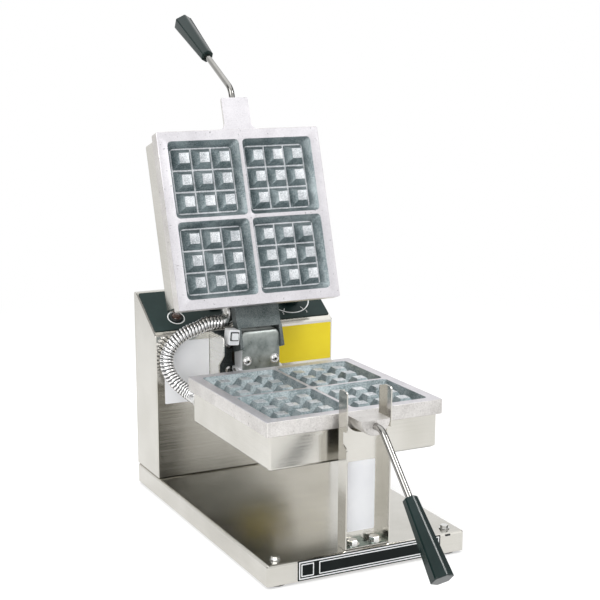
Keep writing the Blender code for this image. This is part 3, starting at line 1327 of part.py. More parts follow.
def build_grid(name, parent):
    """One casting, face upwards in its own frame: rim, core, neck, pockets and pegs."""
    half = GRID_SIZE / 2
    bottom = -FACE - RIM_HEIGHT
    square = corners_of(half, half, (0, GRID_MIDDLE))
    corners = [(*square[index], GRID_CORNER) for index in (0, 2, 3, 1)]
    grid = outline(name, [rounded(corners, BROAD_CORNER_STEPS)], "XY", bottom, -FACE, parent, CAST)
    bevel(grid, GRID_EDGE)
    core_half = CORE_SIZE / 2
    core = block(
        f"{name}_core",
        (-core_half, GRID_MIDDLE - core_half, -GRID_UNDERSIDE),
        (core_half, GRID_MIDDLE + core_half, bottom + RIM_HEIGHT / 2),
        parent,
    )
    join(join(grid, core), neck_solid(name, parent))

    pockets = bmesh.new()
    pegs = bmesh.new()
    slope = CAVITY_DRAFT / CAVITY_DEPTH
    top = CAVITY_SIZE / 2 + slope * OVERRUN
    floor = CAVITY_FLOOR / 2
    corner_share = math.sqrt(2)
    askew = math.pi / SQUARE_SIDES
    round_share = 0.5
    peg_slope = (PEG_BASE - PEG_TOP) / 2 / PEG_HEIGHT
    for x, y in cavity_centres():
        deep, high = (x, y, -FACE - CAVITY_DEPTH), (x, y, -FACE + OVERRUN)
        verts = add_round(pockets, deep, high, floor * corner_share, top * corner_share, SQUARE_SIDES, askew)
        slanted = {
            edge
            for vert in verts
            for edge in vert.link_edges
            if abs(edge.verts[0].co.z - edge.verts[1].co.z) > CAVITY_DEPTH / 2
        }
        bmesh.ops.bevel(
            pockets,
            geom=list(slanted),
            offset=CAVITY_CORNER,
            segments=CORNER_STEPS,
            profile=round_share,
            affect="EDGES",
        )
        for row in range(PEGS_PER_SIDE):
            for column in range(PEGS_PER_SIDE):
                px = x + (column - (PEGS_PER_SIDE - 1) / 2) * PEG_PITCH
                py = y + (row - (PEGS_PER_SIDE - 1) / 2) * PEG_PITCH
                base = (px, py, -FACE - CAVITY_DEPTH - PEG_ROOT)
                crown = (px, py, -FACE - CAVITY_DEPTH + PEG_HEIGHT)
                wide = (PEG_BASE / 2 + peg_slope * PEG_ROOT) * corner_share
                add_round(pegs, base, crown, wide, PEG_TOP / 2 * corner_share, SQUARE_SIDES, askew)
    cut(grid, solid(f"{name}_pockets", pockets, parent))
    join(grid, solid(f"{name}_pegs", pegs, parent))

    socket = ((0, NECK_FRONT - OVERRUN, -HANDLE_OFFSET), (0, NECK_FRONT + HANDLE_SOCKET, -HANDLE_OFFSET))
    bores(grid, f"{name}_rod_socket", [(*socket, HANDLE_ROD_RADIUS + FIT)], parent)
    under, depth = -GRID_UNDERSIDE - OVERRUN, -GRID_UNDERSIDE + CLAMP_SCREW_SOCKET
    screw_bore = ((0, GRID_MIDDLE, under), (0, GRID_MIDDLE, depth))
    bores(grid, f"{name}_clamp_bore", [(*screw_bore, CLAMP_SCREW_SHANK + FIT)], parent)
    foot = -PAN_FLOOR + FIT
    seat = -PAN_DEPTH - FIT
    profile = [
        (0, -GRID_UNDERSIDE + BOSS_ROOT),
        (BOSS_RADIUS, -GRID_UNDERSIDE + BOSS_ROOT),
        (BOSS_RADIUS, foot),
        (BOSS_STEM, foot),
        (BOSS_STEM, seat),
        (BOSS_NUT, seat),
        (BOSS_NUT, seat - BOSS_NUT_HEIGHT / 2),
        (BOSS_NUT / 2, seat - BOSS_NUT_HEIGHT),
        (0, seat - BOSS_NUT_HEIGHT),
    ]
    boss = turned("pattern_boss", profile, None, None, (0, 0, 0), (0, 0, 1), sides=SCREW_SIDES)
    fuse(grid, f"{name}_bosses", boss, [((x, y, 0), (0, 0, 1)) for x, y in boss_places()], parent)
    return grid


def neck_solid(name, parent):
    """The half-round neck with a flared root, cut flat at the parting plane."""
    length = GRID_SETBACK - NECK_FRONT
    root = length + RIM_HEIGHT / 2
    centre = (NECK_RADIUS + NECK_FILLET, length - NECK_FILLET_DEPTH)
    flare = arc(centre, NECK_FILLET, math.pi, math.pi / 2, NECK_FLARE_STEPS)
    flare = [(point.x, point.y + NECK_FILLET_DEPTH - NECK_FILLET) for point in flare]
    profile = [(0, root), (NECK_RADIUS + NECK_FILLET, root), *reversed(flare)]
    profile += [(NECK_RADIUS, NECK_NOSE), (NECK_RADIUS - NECK_NOSE / 2, 0), (0, 0)]
    neck = turned(f"{name}_neck", profile, parent, None, (0, NECK_FRONT, 0), (0, 1, 0), sides=FINE_SIDES)
    wide = NECK_RADIUS + NECK_FILLET + OVERRUN
    front = NECK_FRONT - OVERRUN
    lowest = -NECK_RADIUS - FIT
    top = block(f"{name}_neck_top", (-wide, front, -FACE - FIT), (wide, GRID_MIDDLE, wide), parent)
    bottom = block(f"{name}_neck_bottom", (-wide, front, -wide), (wide, GRID_MIDDLE, lowest), parent)
    under = block(
        f"{name}_neck_under",
        (-wide, GRID_SETBACK - FIT, lowest - FIT),
        (wide, GRID_MIDDLE, -FACE - RIM_HEIGHT + FIT),
        parent,
    )
    return cut(cut(cut(neck, top), bottom), under)


def boss_places():
    """Where the four cast bosses stand under a grid; each holds the pan by a nut on its end."""
    return corners_of(BOSS_SPACING / 2, BOSS_SPACING / 2, (0, GRID_MIDDLE))


# What each half carries besides its grid
def build_pan(name, parent):
    """The sheet pan under a grid: an open box with bent edges."""
    half = PAN_SIZE / 2
    bm = bmesh.new()
    add_block(bm, (-half, GRID_MIDDLE - half, -PAN_DEPTH), (half, GRID_MIDDLE + half, -PAN_TOP))
    lid = [face for face in bm.faces if face.normal.z > math.cos(SHARP_ANGLE)]
    bmesh.ops.delete(bm, geom=lid, context="FACES_ONLY")
    mesh = bpy.data.meshes.new(name)
    bm.to_mesh(mesh)
    bm.free()
    pan = place(name, mesh, parent, STAINLESS, (0, GRID_MIDDLE, -PAN_TOP))
    thicken(bevel(pan, PAN_BEND, BEND_SEGMENTS), PAN_SHEET)
    low, high = -PAN_DEPTH - OVERRUN, -PAN_FLOOR + OVERRUN
    rods = [((x, y, low), (x, y, high), BOSS_STEM + FIT) for x, y in boss_places()]
    side = ARM_SCREW_SPACING / 2
    z = -ARM_UNDERSIDE - ARM_SCREW_UP
    front, back = PAN_BACK - PAN_SHEET - OVERRUN, PAN_BACK + OVERRUN
    rods += [((x, front, z), (x, back, z), ARM_SCREW_SHANK + FIT) for x in (-side, side)]
    bores(pan, f"{name}_holes", rods, parent)
    return pan


def build_element(name, parent):
    """The sheathed heater, looping back and forth under the grid."""
    pitch = ELEMENT_SPAN / (ELEMENT_RUNS - 1)
    near, far = GRID_MIDDLE - ELEMENT_LENGTH / 2, GRID_MIDDLE + ELEMENT_LENGTH / 2
    points = []
    for run in range(ELEMENT_RUNS):
        x = -ELEMENT_SPAN / 2 + run * pitch
        forward = run % 2 == 0
        start, end = (near, far) if forward else (far, near)
        if run == 0:
            start -= ELEMENT_TAIL
        points.append(Vector((x, start)))
        if run < ELEMENT_RUNS - 1:
            turn = (math.pi, 0) if forward else (-math.pi, 0)
            points += arc((x + pitch / 2, end), pitch / 2, *turn, ELEMENT_BEND_STEPS)
        else:
            points.append(Vector((x, end - ELEMENT_TAIL)))
    route = [(point.x, point.y, -ELEMENT_LEVEL) for point in points]
    tube(name, route, ELEMENT_RADIUS, parent, SHEATH, ELEMENT_BEVEL_STEPS)


def build_clamp(name, parent):
    """The flat plate that presses the heater against the grid."""
    half = CLAMP_SIZE / 2
    square = corners_of(half, half, (0, GRID_MIDDLE))
    corners = [(*square[index], CLAMP_CORNER) for index in (0, 2, 3, 1)]
    low, high = -CLAMP_LEVEL - CLAMP_THICKNESS, -CLAMP_LEVEL
    clamp = outline(name, [rounded(corners, BROAD_CORNER_STEPS)], "XY", low, high, parent, PLATED)
    rods = [((x, y, low - OVERRUN), (x, y, high + OVERRUN), BOSS_RADIUS + FIT) for x, y in boss_places()]
    centre = ((0, GRID_MIDDLE, low - OVERRUN), (0, GRID_MIDDLE, high + OVERRUN), CLAMP_SCREW_SHANK + FIT)
    bores(clamp, f"{name}_holes", [*rods, centre], parent)
    reach = high - low + CLAMP_LEVEL - GRID_UNDERSIDE + CLAMP_SCREW_SOCKET - FIT
    screw = dome_screw(CLAMP_SCREW_HEAD, CLAMP_SCREW_DOME, CLAMP_SCREW_SHANK, reach, SCREW_SIDES)
    spot = (f"{name}_screw", (0, GRID_MIDDLE, low - FIT), (0, 0, -1))
    copies(screw, [spot], parent, PLATED)


def build_handle(half_name, parent):
    """The bent rod screwed into the neck, and the six-sided grip on its end."""
    level = -HANDLE_OFFSET
    start = NECK_FRONT + HANDLE_SOCKET - FIT
    bend = NECK_FRONT - HANDLE_BEND_START
    centre = (bend, level - HANDLE_BEND_RADIUS)
    curve = arc(centre, HANDLE_BEND_RADIUS, math.pi / 2, math.pi / 2 + HANDLE_ANGLE, HANDLE_BEND_STEPS)
    along = Vector((0, -math.cos(HANDLE_ANGLE), -math.sin(HANDLE_ANGLE)))
    bend_end = Vector((0, curve[-1].x, curve[-1].y))
    grip_near = bend_end + along * HANDLE_ROD_BARE
    rod_end = grip_near + along * (GRIP_BORE_DEPTH - FIT)
    route = [(0, start, level), *[(0, point.x, point.y) for point in curve], rod_end]
    tube(f"{half_name}_handle_rod", route, HANDLE_ROD_RADIUS, parent, PLATED, HANDLE_BEVEL_STEPS)

    bm = bmesh.new()
    grip_far = grip_near + along * GRIP_LENGTH
    add_round(bm, grip_near, grip_far, GRIP_NEAR_RADIUS, GRIP_FAR_RADIUS, GRIP_SIDES)
    grip = solid(f"{half_name}_handle_grip", bm, parent, PHENOLIC, grip_near)
    bevel(grip, GRIP_EDGE, BEND_SEGMENTS)
    socket = [(grip_near - along * OVERRUN, grip_near + along * GRIP_BORE_DEPTH, HANDLE_ROD_RADIUS + FIT)]
    bores(grip, f"{half_name}_grip_socket", socket, parent)


# The armoured conduit that feeds the upper half
def smooth_route(points, start_way, end_way, spacing):
    """Even steps along a smooth curve through points with set directions at its ends."""
    ways = [Vector(start_way)]
    for before, here, after in zip(points, points[1:], points[2:]):
        ways.append(((here - before).normalized() + (after - here).normalized()).normalized())
    ways.append(Vector(end_way))
    fine = [points[0]]
    for index in range(len(points) - 1):
        first, second = points[index], points[index + 1]
        reach = (second - first).length / 3
        leave, meet = first + ways[index] * reach, second - ways[index + 1] * reach
        fine += interpolate_bezier(first, leave, meet, second, ROUTE_STEPS)[1:]
    lengths = [0]
    for first, second in zip(fine, fine[1:]):
        lengths.append(lengths[-1] + (second - first).length)
    count = max(2, round(lengths[-1] / spacing))
    even = []
    spot = 0
    for step in range(count + 1):
        wanted = lengths[-1] * step / count
        while spot < len(fine) - 2 and lengths[spot + 1] < wanted:
            spot += 1
        part = (wanted - lengths[spot]) / (lengths[spot + 1] - lengths[spot])
        even.append(fine[spot].lerp(fine[spot + 1], part))
    return even


def build_conduit():
    """The ribbed conduit between the pans, bored through, with its two connectors."""
    diameter = 2 * CONDUIT_RADIUS
    wall = PAN_BACK + FIT
    mouth = Vector((CONDUIT_EXIT_X, wall + CONNECTOR_COLLAR + CONNECTOR_LENGTH + FIT, -CONDUIT_EXIT_BELOW))
    elbow = elbow_centre()
    landing = elbow + Vector((-ELBOW_MOUTH - FIT, 0, 0))
    start_way, end_way = Vector((0, 1, 0)), Vector((1, 0, 0))
    first_bend, last_bend = mouth + start_way * diameter, landing - end_way * diameter
    span = last_bend - first_bend
    between = [first_bend + span * Vector(shares) for shares in CONDUIT_ROUTE_SHARES]
    route = [first_bend, *between, last_bend]
    spacing = CONDUIT_RIB_PITCH / 2
    curve = smooth_route(route, start_way, end_way, spacing)
    lead = round(diameter / spacing)
    first = [mouth + start_way * diameter * step / lead for step in range(lead)]
    last = [landing - end_way * diameter * (lead - step) / lead for step in range(1, lead + 1)]
    points = [*first, *curve, *last]
    root_share = CONDUIT_ROOT_RADIUS / CONDUIT_RADIUS
    radii = [1 if index % 2 else root_share for index in range(len(points))]
    mesh = mesh_of_curve("conduit", tube_curve("conduit", points, CONDUIT_RADIUS, CONDUIT_BEVEL_STEPS, radii))
    conduit = place("conduit", mesh, HEAD, PLATED, mouth)
    core = [mouth - start_way * OVERRUN, *points[1:-1:3], landing + end_way * OVERRUN]
    mesh = mesh_of_curve("conduit_bore", tube_curve("conduit_bore", core, CONDUIT_BORE, CONDUIT_BEVEL_STEPS))
    cut(conduit, place("conduit_bore", mesh, HEAD, None, mouth))

    spigot_end = wall - PAN_SHEET - CONNECTOR_SPIGOT_REACH
    lip = wall + CONNECTOR_COLLAR
    profile = [
        (CONDUIT_BORE, -spigot_end),
        (CONNECTOR_SPIGOT, -spigot_end),
        (CONNECTOR_SPIGOT, -wall),
        (CONNECTOR_RADIUS, -wall),
        (CONNECTOR_RADIUS, -lip),
        (CONNECTOR_BODY, -lip),
        (CONNECTOR_BODY, -lip - CONNECTOR_LENGTH),
        (CONDUIT_BORE, -lip - CONNECTOR_LENGTH),
    ]
    spot = (CONDUIT_EXIT_X, 0, -CONDUIT_EXIT_BELOW)
    turned("conduit_connector", profile, HEAD, PLATED, spot, (0, -1, 0), closed=True)
    pan_hole("lower_pan", spot, HEAD)
    build_elbow()


def elbow_centre():
    """The elbow's corner in the head's frame, with the upper half standing open."""
    shut = Vector((ELBOW_X, PAN_BACK + ELBOW_LEG, ELBOW_ABOVE))
    return Matrix.Rotation(-OPEN_ANGLE, 3, "X") @ (shut - PIN_LOCAL) + PIN_LOCAL


def build_elbow():
    """The right-angled connector on the upper pan's back wall."""
    wall = PAN_BACK + FIT
    corner = Vector((ELBOW_X, PAN_BACK + ELBOW_LEG, ELBOW_ABOVE))
    radius = CONNECTOR_BODY
    turn = arc((corner.x - radius, corner.y - radius), radius, 0, math.pi / 2, ELBOW_STEPS)
    foot = (corner.x, wall + CONNECTOR_COLLAR / 2, corner.z)
    end = (corner.x - ELBOW_MOUTH, corner.y, corner.z)
    route = [foot, *[(point.x, point.y, corner.z) for point in turn], end]
    mesh = mesh_of_curve("conduit_elbow", tube_curve("conduit_elbow", route, radius, ELBOW_BEVEL_STEPS))
    elbow = place("conduit_elbow", mesh, UPPER, PLATED, foot)
    collar = ((corner.x, wall, corner.z), (corner.x, wall + CONNECTOR_COLLAR, corner.z), CONNECTOR_RADIUS)
    inner = wall - PAN_SHEET - CONNECTOR_SPIGOT_REACH
    spigot = ((corner.x, inner, corner.z), foot, CONNECTOR_SPIGOT)
    join(elbow, bars("elbow_collar", [collar], UPPER))
    join(elbow, bars("elbow_spigot", [spigot], UPPER))
    sleeve = [(corner.x, inner - OVERRUN, corner.z), *route[1:-1], (end[0] - OVERRUN, *end[1:])]
    mesh = mesh_of_curve("elbow_bore", tube_curve("elbow_bore", sleeve, CONDUIT_BORE, CONDUIT_BEVEL_STEPS))
    cut(elbow, place("elbow_bore", mesh, UPPER, None, foot))
    pan_hole("upper_pan", corner, UPPER)


def pan_hole(pan_name, spot, parent):
    """The hole in a pan's back wall behind a connector."""
    x, _, z = spot
    rod = ((x, PAN_BACK - PAN_SHEET - OVERRUN, z), (x, PAN_BACK + OVERRUN, z), CONNECTOR_SPIGOT + FIT)
    bores(bpy.data.objects[pan_name], f"{pan_name}_conduit_hole", [rod], parent)


def centre_depth():
    """Slide the whole machine along Y so that its box is centred on the origin."""
    graph = bpy.context.evaluated_depsgraph_get()
    depths = []
    for part in PARTS.objects:
        shape = part.evaluated_get(graph)
        mesh = shape.to_mesh()
        depths += [(shape.matrix_world @ vert.co).y for vert in mesh.vertices]
        shape.to_mesh_clear()
    MACHINE.location.y = -(min(depths) + max(depths)) / 2


build_base()
build_housing()
build_cover()
build_controls()
build_terminals()
build_post()
build_bracket()
build_trunnion()
build_hinge()
for half_name, half_frame in HALVES:
    build_grid(f"{half_name}_grid", half_frame)
    build_pan(f"{half_name}_pan", half_frame)
    build_element(f"{half_name}_element", half_frame)
    build_clamp(f"{half_name}_clamp", half_frame)
    build_handle(half_name, half_frame)
build_conduit()
bpy.context.view_layer.update()
centre_depth()
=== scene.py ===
"""The looks of the square waffle maker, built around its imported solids.

Lengths are in metres, with +Z up and +Y to the back. Sizes and places that the solids fix are read from
their boxes, or repeat the named values of the part's own source.
"""
import json
import math

import bmesh
import bpy
from mathutils import Matrix, Vector
from mathutils.geometry import interpolate_bezier


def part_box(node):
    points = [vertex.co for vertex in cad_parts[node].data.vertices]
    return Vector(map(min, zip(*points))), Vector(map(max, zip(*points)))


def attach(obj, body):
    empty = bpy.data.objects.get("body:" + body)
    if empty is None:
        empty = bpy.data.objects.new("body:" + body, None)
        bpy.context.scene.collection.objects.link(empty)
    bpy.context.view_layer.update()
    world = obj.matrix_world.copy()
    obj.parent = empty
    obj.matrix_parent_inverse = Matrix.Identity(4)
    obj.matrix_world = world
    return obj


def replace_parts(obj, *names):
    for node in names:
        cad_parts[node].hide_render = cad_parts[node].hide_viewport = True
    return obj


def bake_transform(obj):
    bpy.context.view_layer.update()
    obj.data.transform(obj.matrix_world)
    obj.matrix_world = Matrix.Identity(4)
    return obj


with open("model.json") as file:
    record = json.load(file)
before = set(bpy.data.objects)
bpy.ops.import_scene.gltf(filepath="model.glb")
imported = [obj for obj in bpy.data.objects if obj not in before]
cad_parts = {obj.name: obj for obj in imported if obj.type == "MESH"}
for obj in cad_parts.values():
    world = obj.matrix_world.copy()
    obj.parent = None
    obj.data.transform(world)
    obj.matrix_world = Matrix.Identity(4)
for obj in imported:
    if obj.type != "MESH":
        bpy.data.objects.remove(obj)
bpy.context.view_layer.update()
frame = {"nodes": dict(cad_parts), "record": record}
NODES = frame["nodes"]
BODY_OF = {node: body for body, nodes in frame["record"]["behaviour"]["bodies"].items() for node in nodes}
SLOT_OF = {part["node"]: part["material_slot"] for part in frame["record"]["subparts"]}

# Directions, and places that the pieces are set from
RIGHT, FORWARD, BACK, UP = Vector((1, 0, 0)), Vector((0, -1, 0)), Vector((0, 1, 0)), Vector((0, 0, 1))
BASE_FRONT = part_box("base_pan")[0].y
HOUSING_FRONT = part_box("housing_shell")[0].y
AXIS_Z = 0.1847
PIN_LOCAL = Vector((0, 0.30265, 0.0305))
OPEN_ANGLE = math.radians(107.7)
PANEL_ANGLE = math.radians(33.5)
PANEL_START = Vector((0, HOUSING_FRONT, 0.2228))
PANEL_TOP = 0.0016

# Frames of the lower half, the open upper half and the control panel
HEAD = Matrix.Translation((0, BASE_FRONT, AXIS_Z))
TURN_BACK = Matrix.Rotation(-OPEN_ANGLE, 4, "X")
UPPER = HEAD @ Matrix.Translation(PIN_LOCAL) @ TURN_BACK @ Matrix.Translation(-PIN_LOCAL)
PANEL = Matrix.Translation(PANEL_START) @ Matrix.Rotation(PANEL_ANGLE, 4, "X")


# Shaders
class Nodes:
    """A node tree that is built in steps.

    A Mix node has its share at socket 0, its numbers at 2 and 3 and its colours at 6 and 7, and gives a
    number at output 0 and a colour at output 2.
    """

    def __init__(self, tree):
        self.tree = tree

    def step(self, kind, inputs=(), **settings):
        """A new node, whose inputs are other nodes' outputs or plain values."""
        node = self.tree.nodes.new(kind)
        for setting, value in settings.items():
            setattr(node, setting, value)
        for socket, value in dict(inputs).items():
            if isinstance(value, bpy.types.NodeSocket):
                self.tree.links.new(value, node.inputs[socket])
            else:
                node.inputs[socket].default_value = value
        return node

    def maths(self, first, second, operation="ADD"):
        """The sum of two numbers, or another operation on them."""
        return self.step("ShaderNodeMath", {0: first, 1: second}, operation=operation).outputs[0]

    def weighed(self, first, share, second):
        """The share of first and the rest of second."""
        return self.maths(self.maths(first, share, "MULTIPLY"), self.maths(second, 1 - share, "MULTIPLY"))

    def between(self, value, low, high, start=0.3, end=0.7, **settings):
        """A number from low to high as value goes from start to end."""
        inputs = {"Value": value, "From Min": start, "From Max": end, "To Min": low, "To Max": high}
        return self.step("ShaderNodeMapRange", inputs, **settings).outputs["Result"]

    def seen(self, rays):
        """1 for rays from the camera, a mirror or glass, and 0 for the light itself."""
        in_mirror = self.maths(rays["Is Camera Ray"], rays["Is Glossy Ray"], "MAXIMUM")
        return self.maths(in_mirror, rays["Is Transmission Ray"], "MAXIMUM")


class Finish(Nodes):
    """A Principled material with a texture laid by the object's own coordinates."""

    def __init__(self, name, **fixed):
        self.material = bpy.data.materials.new(name)
        self.material.use_nodes = True
        super().__init__(self.material.node_tree)
        self.shader = self.tree.nodes["Principled BSDF"]
        for socket, value in fixed.items():
            self.shader.inputs[socket.replace("_", " ")].default_value = value

    def feed(self, socket, value):
        """Links a step's output to the shader."""
        self.tree.links.new(value, self.shader.inputs[socket])

    def place(self, scale=(1, 1, 1)):
        """Object coordinates, stretched by scale."""
        here = self.step("ShaderNodeTexCoord").outputs["Object"]
        return self.step("ShaderNodeMapping", {"Vector": here, "Scale": scale}).outputs["Vector"]

    def noise(self, scale, detail=3, stretch=(1, 1, 1), roughness=0.55):
        """Noise around a half, with scale cells to the metre."""
        inputs = {"Vector": self.place(stretch), "Scale": scale, "Detail": detail, "Roughness": roughness}
        return self.step("ShaderNodeTexNoise", inputs).outputs["Fac"]

    def tint(self, value, first, second, start=0.3, end=0.7):
        """A colour from first to second as value goes from start to end."""
        ramp = self.step("ShaderNodeValToRGB", {"Fac": value})
        for element, spot, colour in zip(ramp.color_ramp.elements, (start, end), (first, second)):
            element.position = spot
            element.color = (*colour, 1)
        return ramp.outputs["Color"]

    def mixed(self, share, first, second):
        """A colour from first to second by share."""
        return self.step("ShaderNodeMix", {0: share, 6: first, 7: second}, data_type="RGBA").outputs[2]

    def bump(self, height, distance, strength):
        """Relief that is distance high, as strong as strength."""
        inputs = {"Height": height, "Distance": distance, "Strength": strength}
        self.feed("Normal", self.step("ShaderNodeBump", inputs).outputs["Normal"])


# Sheet: its lengthwise grain and its clouds. A scale is cells to the metre.
GRAIN_SCALE, GRAIN_STRETCH, GRAIN_ROUGH, GRAIN_STRENGTH = 900, 0.012, 0.03, 0.35
SHEET_CLOUD_SCALE, SHEET_CLOUD_SHARE = 11, 0.75
FACES_SIDEWAYS = 0.5

# Castings: their sand, clouds and pits
SAND_SHARE, SAND_ROUGHNESS, SAND_STRENGTH = 0.6, 0.65, 0.8
CAST_CLOUD_SCALE = 38
PIT_SCALE, PIT_START, PIT_END = 330, 0.68, 0.74

# Mouldings: their skin, clouds and coat
SKIN_SCALE, SKIN_ROUGH, SKIN_STRENGTH = 1400, 0.02, 0.5
MOULDING_CLOUD_SCALE = 26
COAT_ROUGHNESS = 0.12

# How far the roughness goes below and above the value that a finish is given
PLAIN_LESS, PLAIN_MORE = 0.03, 0.05
CAST_LESS, CAST_MORE = 0.06, 0.08


def brushed(name, first, second, rough, grain=0.00003):
    """Sheet steel with a fine lengthwise grain and faint clouding."""
    made = Finish(name, Metallic=1.0)
    across = made.noise(GRAIN_SCALE, 2, (GRAIN_STRETCH, 1, 1))
    along = made.noise(GRAIN_SCALE, 2, (1, GRAIN_STRETCH, 1))
    normal = made.step("ShaderNodeTexCoord").outputs["Normal"]
    sideways = made.step("ShaderNodeSeparateXYZ", {0: normal}).outputs[0]
    on_side = made.maths(made.maths(sideways, sideways, "MULTIPLY"), FACES_SIDEWAYS, "GREATER_THAN")
    streak = made.step("ShaderNodeMix", {0: on_side, 2: across, 3: along}).outputs[0]
    cloud = made.noise(SHEET_CLOUD_SCALE, 4)
    made.feed("Base Color", made.tint(made.weighed(cloud, SHEET_CLOUD_SHARE, streak), first, second))
    matt = made.between(cloud, rough - PLAIN_LESS, rough + PLAIN_MORE)
    made.feed("Roughness", made.maths(matt, made.between(streak, -GRAIN_ROUGH, GRAIN_ROUGH)))
    made.bump(streak, grain, GRAIN_STRENGTH)
    return made.material


def cast(name, first, second, rough, metallic=0.9, speck=0.00012, scale=620, pits=None, spread=0.14):
    """Cast metal with a sandy skin and uneven tone, and darker pits where a colour for them is given."""
    made = Finish(name, Metallic=metallic)
    sand = made.noise(scale, 3, roughness=SAND_ROUGHNESS)
    tone = made.weighed(sand, SAND_SHARE, made.noise(CAST_CLOUD_SCALE, 3))
    colour = made.tint(tone, first, second, 0.5 - spread, 0.5 + spread)
    if pits:
        spots = made.between(made.noise(PIT_SCALE, 2), 0, 1, PIT_START, PIT_END)
        colour = made.mixed(spots, colour, (*pits, 1))
    made.feed("Base Color", colour)
    made.feed("Roughness", made.between(sand, rough - CAST_LESS, rough + CAST_MORE))
    made.bump(sand, speck, SAND_STRENGTH)
    return made.material


def moulded(name, first, second, rough, coat=0.0, speck=0.00002, **fixed):
    """Moulded plastic, enamel or rubber with a faint texture."""
    made = Finish(name, Coat_Weight=coat, Coat_Roughness=COAT_ROUGHNESS, **fixed)
    skin = made.noise(SKIN_SCALE, 2)
    cloud = made.noise(MOULDING_CLOUD_SCALE, 3)
    made.feed("Base Color", made.tint(cloud, first, second))
    matt = made.between(cloud, rough - PLAIN_LESS, rough + PLAIN_MORE)
    made.feed("Roughness", made.maths(matt, made.between(skin, -SKIN_ROUGH, SKIN_ROUGH)))
    made.bump(skin, speck, SKIN_STRENGTH)
    return made.material


# Finishes: their dark and pale tones and roughness, a casting's share of metal, and what is unusual
STEEL = brushed("sheet_steel", (0.51, 0.495, 0.45), (0.655, 0.64, 0.60), 0.17)
PLATED = brushed("plated_steel", (0.62, 0.62, 0.61), (0.84, 0.84, 0.83), 0.16, grain=0.00001)
ROD = brushed("bright_rod", (0.24, 0.24, 0.225), (0.42, 0.41, 0.395), 0.08, grain=0.000004)
STRIP = brushed("conduit_strip", (0.74, 0.73, 0.73), (0.92, 0.92, 0.92), 0.16, grain=0.00001)
# Near-black steel in grooves and recesses: painted shade
GROOVE_SHADE = brushed("painted_groove_shade", (0.03, 0.035, 0.035), (0.10, 0.11, 0.11), 0.40)
# Pale steel for the bracket's flanges: painted light
LIT_BRACKET_STEEL = brushed("lit_bracket_steel", (0.80, 0.79, 0.75), (0.95, 0.94, 0.90), 0.26)
# Near-black steel under the lower pan: painted shade, which the base top mirrors
UNDER_PAN_SHADE = brushed("under_pan_shade_steel", (0.10, 0.105, 0.09), (0.24, 0.245, 0.22), 0.30)
# Dark green steel on the post's foot: a painted reflection
FOOT_REFLECTION = brushed("foot_reflection_steel", (0.14, 0.20, 0.18), (0.34, 0.40, 0.37), 0.22)
SHEATH = brushed("heater_sheath", (0.14, 0.12, 0.11), (0.26, 0.23, 0.20), 0.45)

# Zinc plating, which on the hinge casting's sides is a paler copy as painted light
ZINC_AND_LIT_SIDE = cast("zinc_plating_and_lit_side", (0.76, 0.77, 0.78), (0.92, 0.93, 0.94), 0.36, 0.35, speck=0.00002)
RIM = cast(
    "machined_rim", (0.57, 0.555, 0.58), (0.71, 0.695, 0.72), 0.38, 0.85,
    speck=0.00003, pits=(0.22, 0.22, 0.23),
)
SKIRT = cast(
    "cast_side", (0.54, 0.52, 0.50), (0.76, 0.74, 0.72), 0.42, 0.85,
    speck=0.00008, pits=(0.20, 0.19, 0.18),
)
# Pale edge finish: a painted highlight along eased edges, which on the upper arm is partly wear and partly
# painted highlight
WORN_AND_HIGHLIT = cast("worn_and_highlit_edge", (0.56, 0.59, 0.60), (0.82, 0.84, 0.85), 0.36, 0.85, speck=0.00005)
# Peg tops, pocket floors and pocket walls are one sandy pocket finish in three tones by slope: painted light
# on the level faces, painted shade on the walls
PEG_TOP = cast(
    "lit_peg_top", (0.32, 0.35, 0.37), (0.84, 0.86, 0.88), 0.42, 0.80, speck=0.00018, scale=800, spread=0.10
)
CHANNEL = cast("lit_pocket_floor", (0.42, 0.45, 0.47), (0.80, 0.81, 0.83), 0.45, 0.80, spread=0.10)
POCKET = cast(
    "shaded_pocket_wall", (0.13, 0.17, 0.18), (0.42, 0.475, 0.49), 0.45, 0.75, speck=0.00018, spread=0.10
)
BLOCK = cast("hinge_casting", (0.24, 0.27, 0.25), (0.46, 0.49, 0.47), 0.32, 0.90, speck=0.00004, scale=90)
# Dark casting, which on the bracket's web stands as painted shade
DARK_CAST_AND_SHADE = cast(
    "dark_casting_and_shade", (0.040, 0.055, 0.055), (0.20, 0.225, 0.225), 0.50, 0.7, speck=0.00015, scale=760
)
BRONZE = cast("bronze", (0.10, 0.085, 0.065), (0.20, 0.17, 0.13), 0.40, 1.0, speck=0.00004)

PHENOLIC = moulded(
    "black_phenolic", (0.003, 0.013, 0.012), (0.007, 0.021, 0.020), 0.16, Specular_IOR_Level=0.34
)
ENAMEL = moulded(
    "dark_enamel", (0.008, 0.024, 0.022), (0.020, 0.042, 0.040), 0.46, speck=0.00003, Specular_IOR_Level=0.25
)
RUBBER = moulded("rubber", (0.012, 0.012, 0.012), (0.030, 0.030, 0.030), 0.75, speck=0.00005)
MOULDING = moulded(
    "black_moulding", (0.012, 0.014, 0.014), (0.026, 0.030, 0.030), 0.50, Specular_IOR_Level=0.3
)
LENS = moulded("smoked_lens", (0.030, 0.012, 0.006), (0.060, 0.022, 0.010), 0.12, coat=0.3, speck=0.00001)
PAPER = moulded("white_plate", (0.88, 0.89, 0.92), (0.94, 0.95, 0.97), 0.45)
YELLOW = moulded("yellow_plate", (0.88, 0.68, 0.006), (0.93, 0.75, 0.012), 0.42)
BADGE = moulded("black_plate", (0.003, 0.005, 0.005), (0.008, 0.012, 0.012), 0.34, Specular_IOR_Level=0.12)
PRINT = moulded("white_print", (0.84, 0.86, 0.86), (0.92, 0.94, 0.94), 0.50)

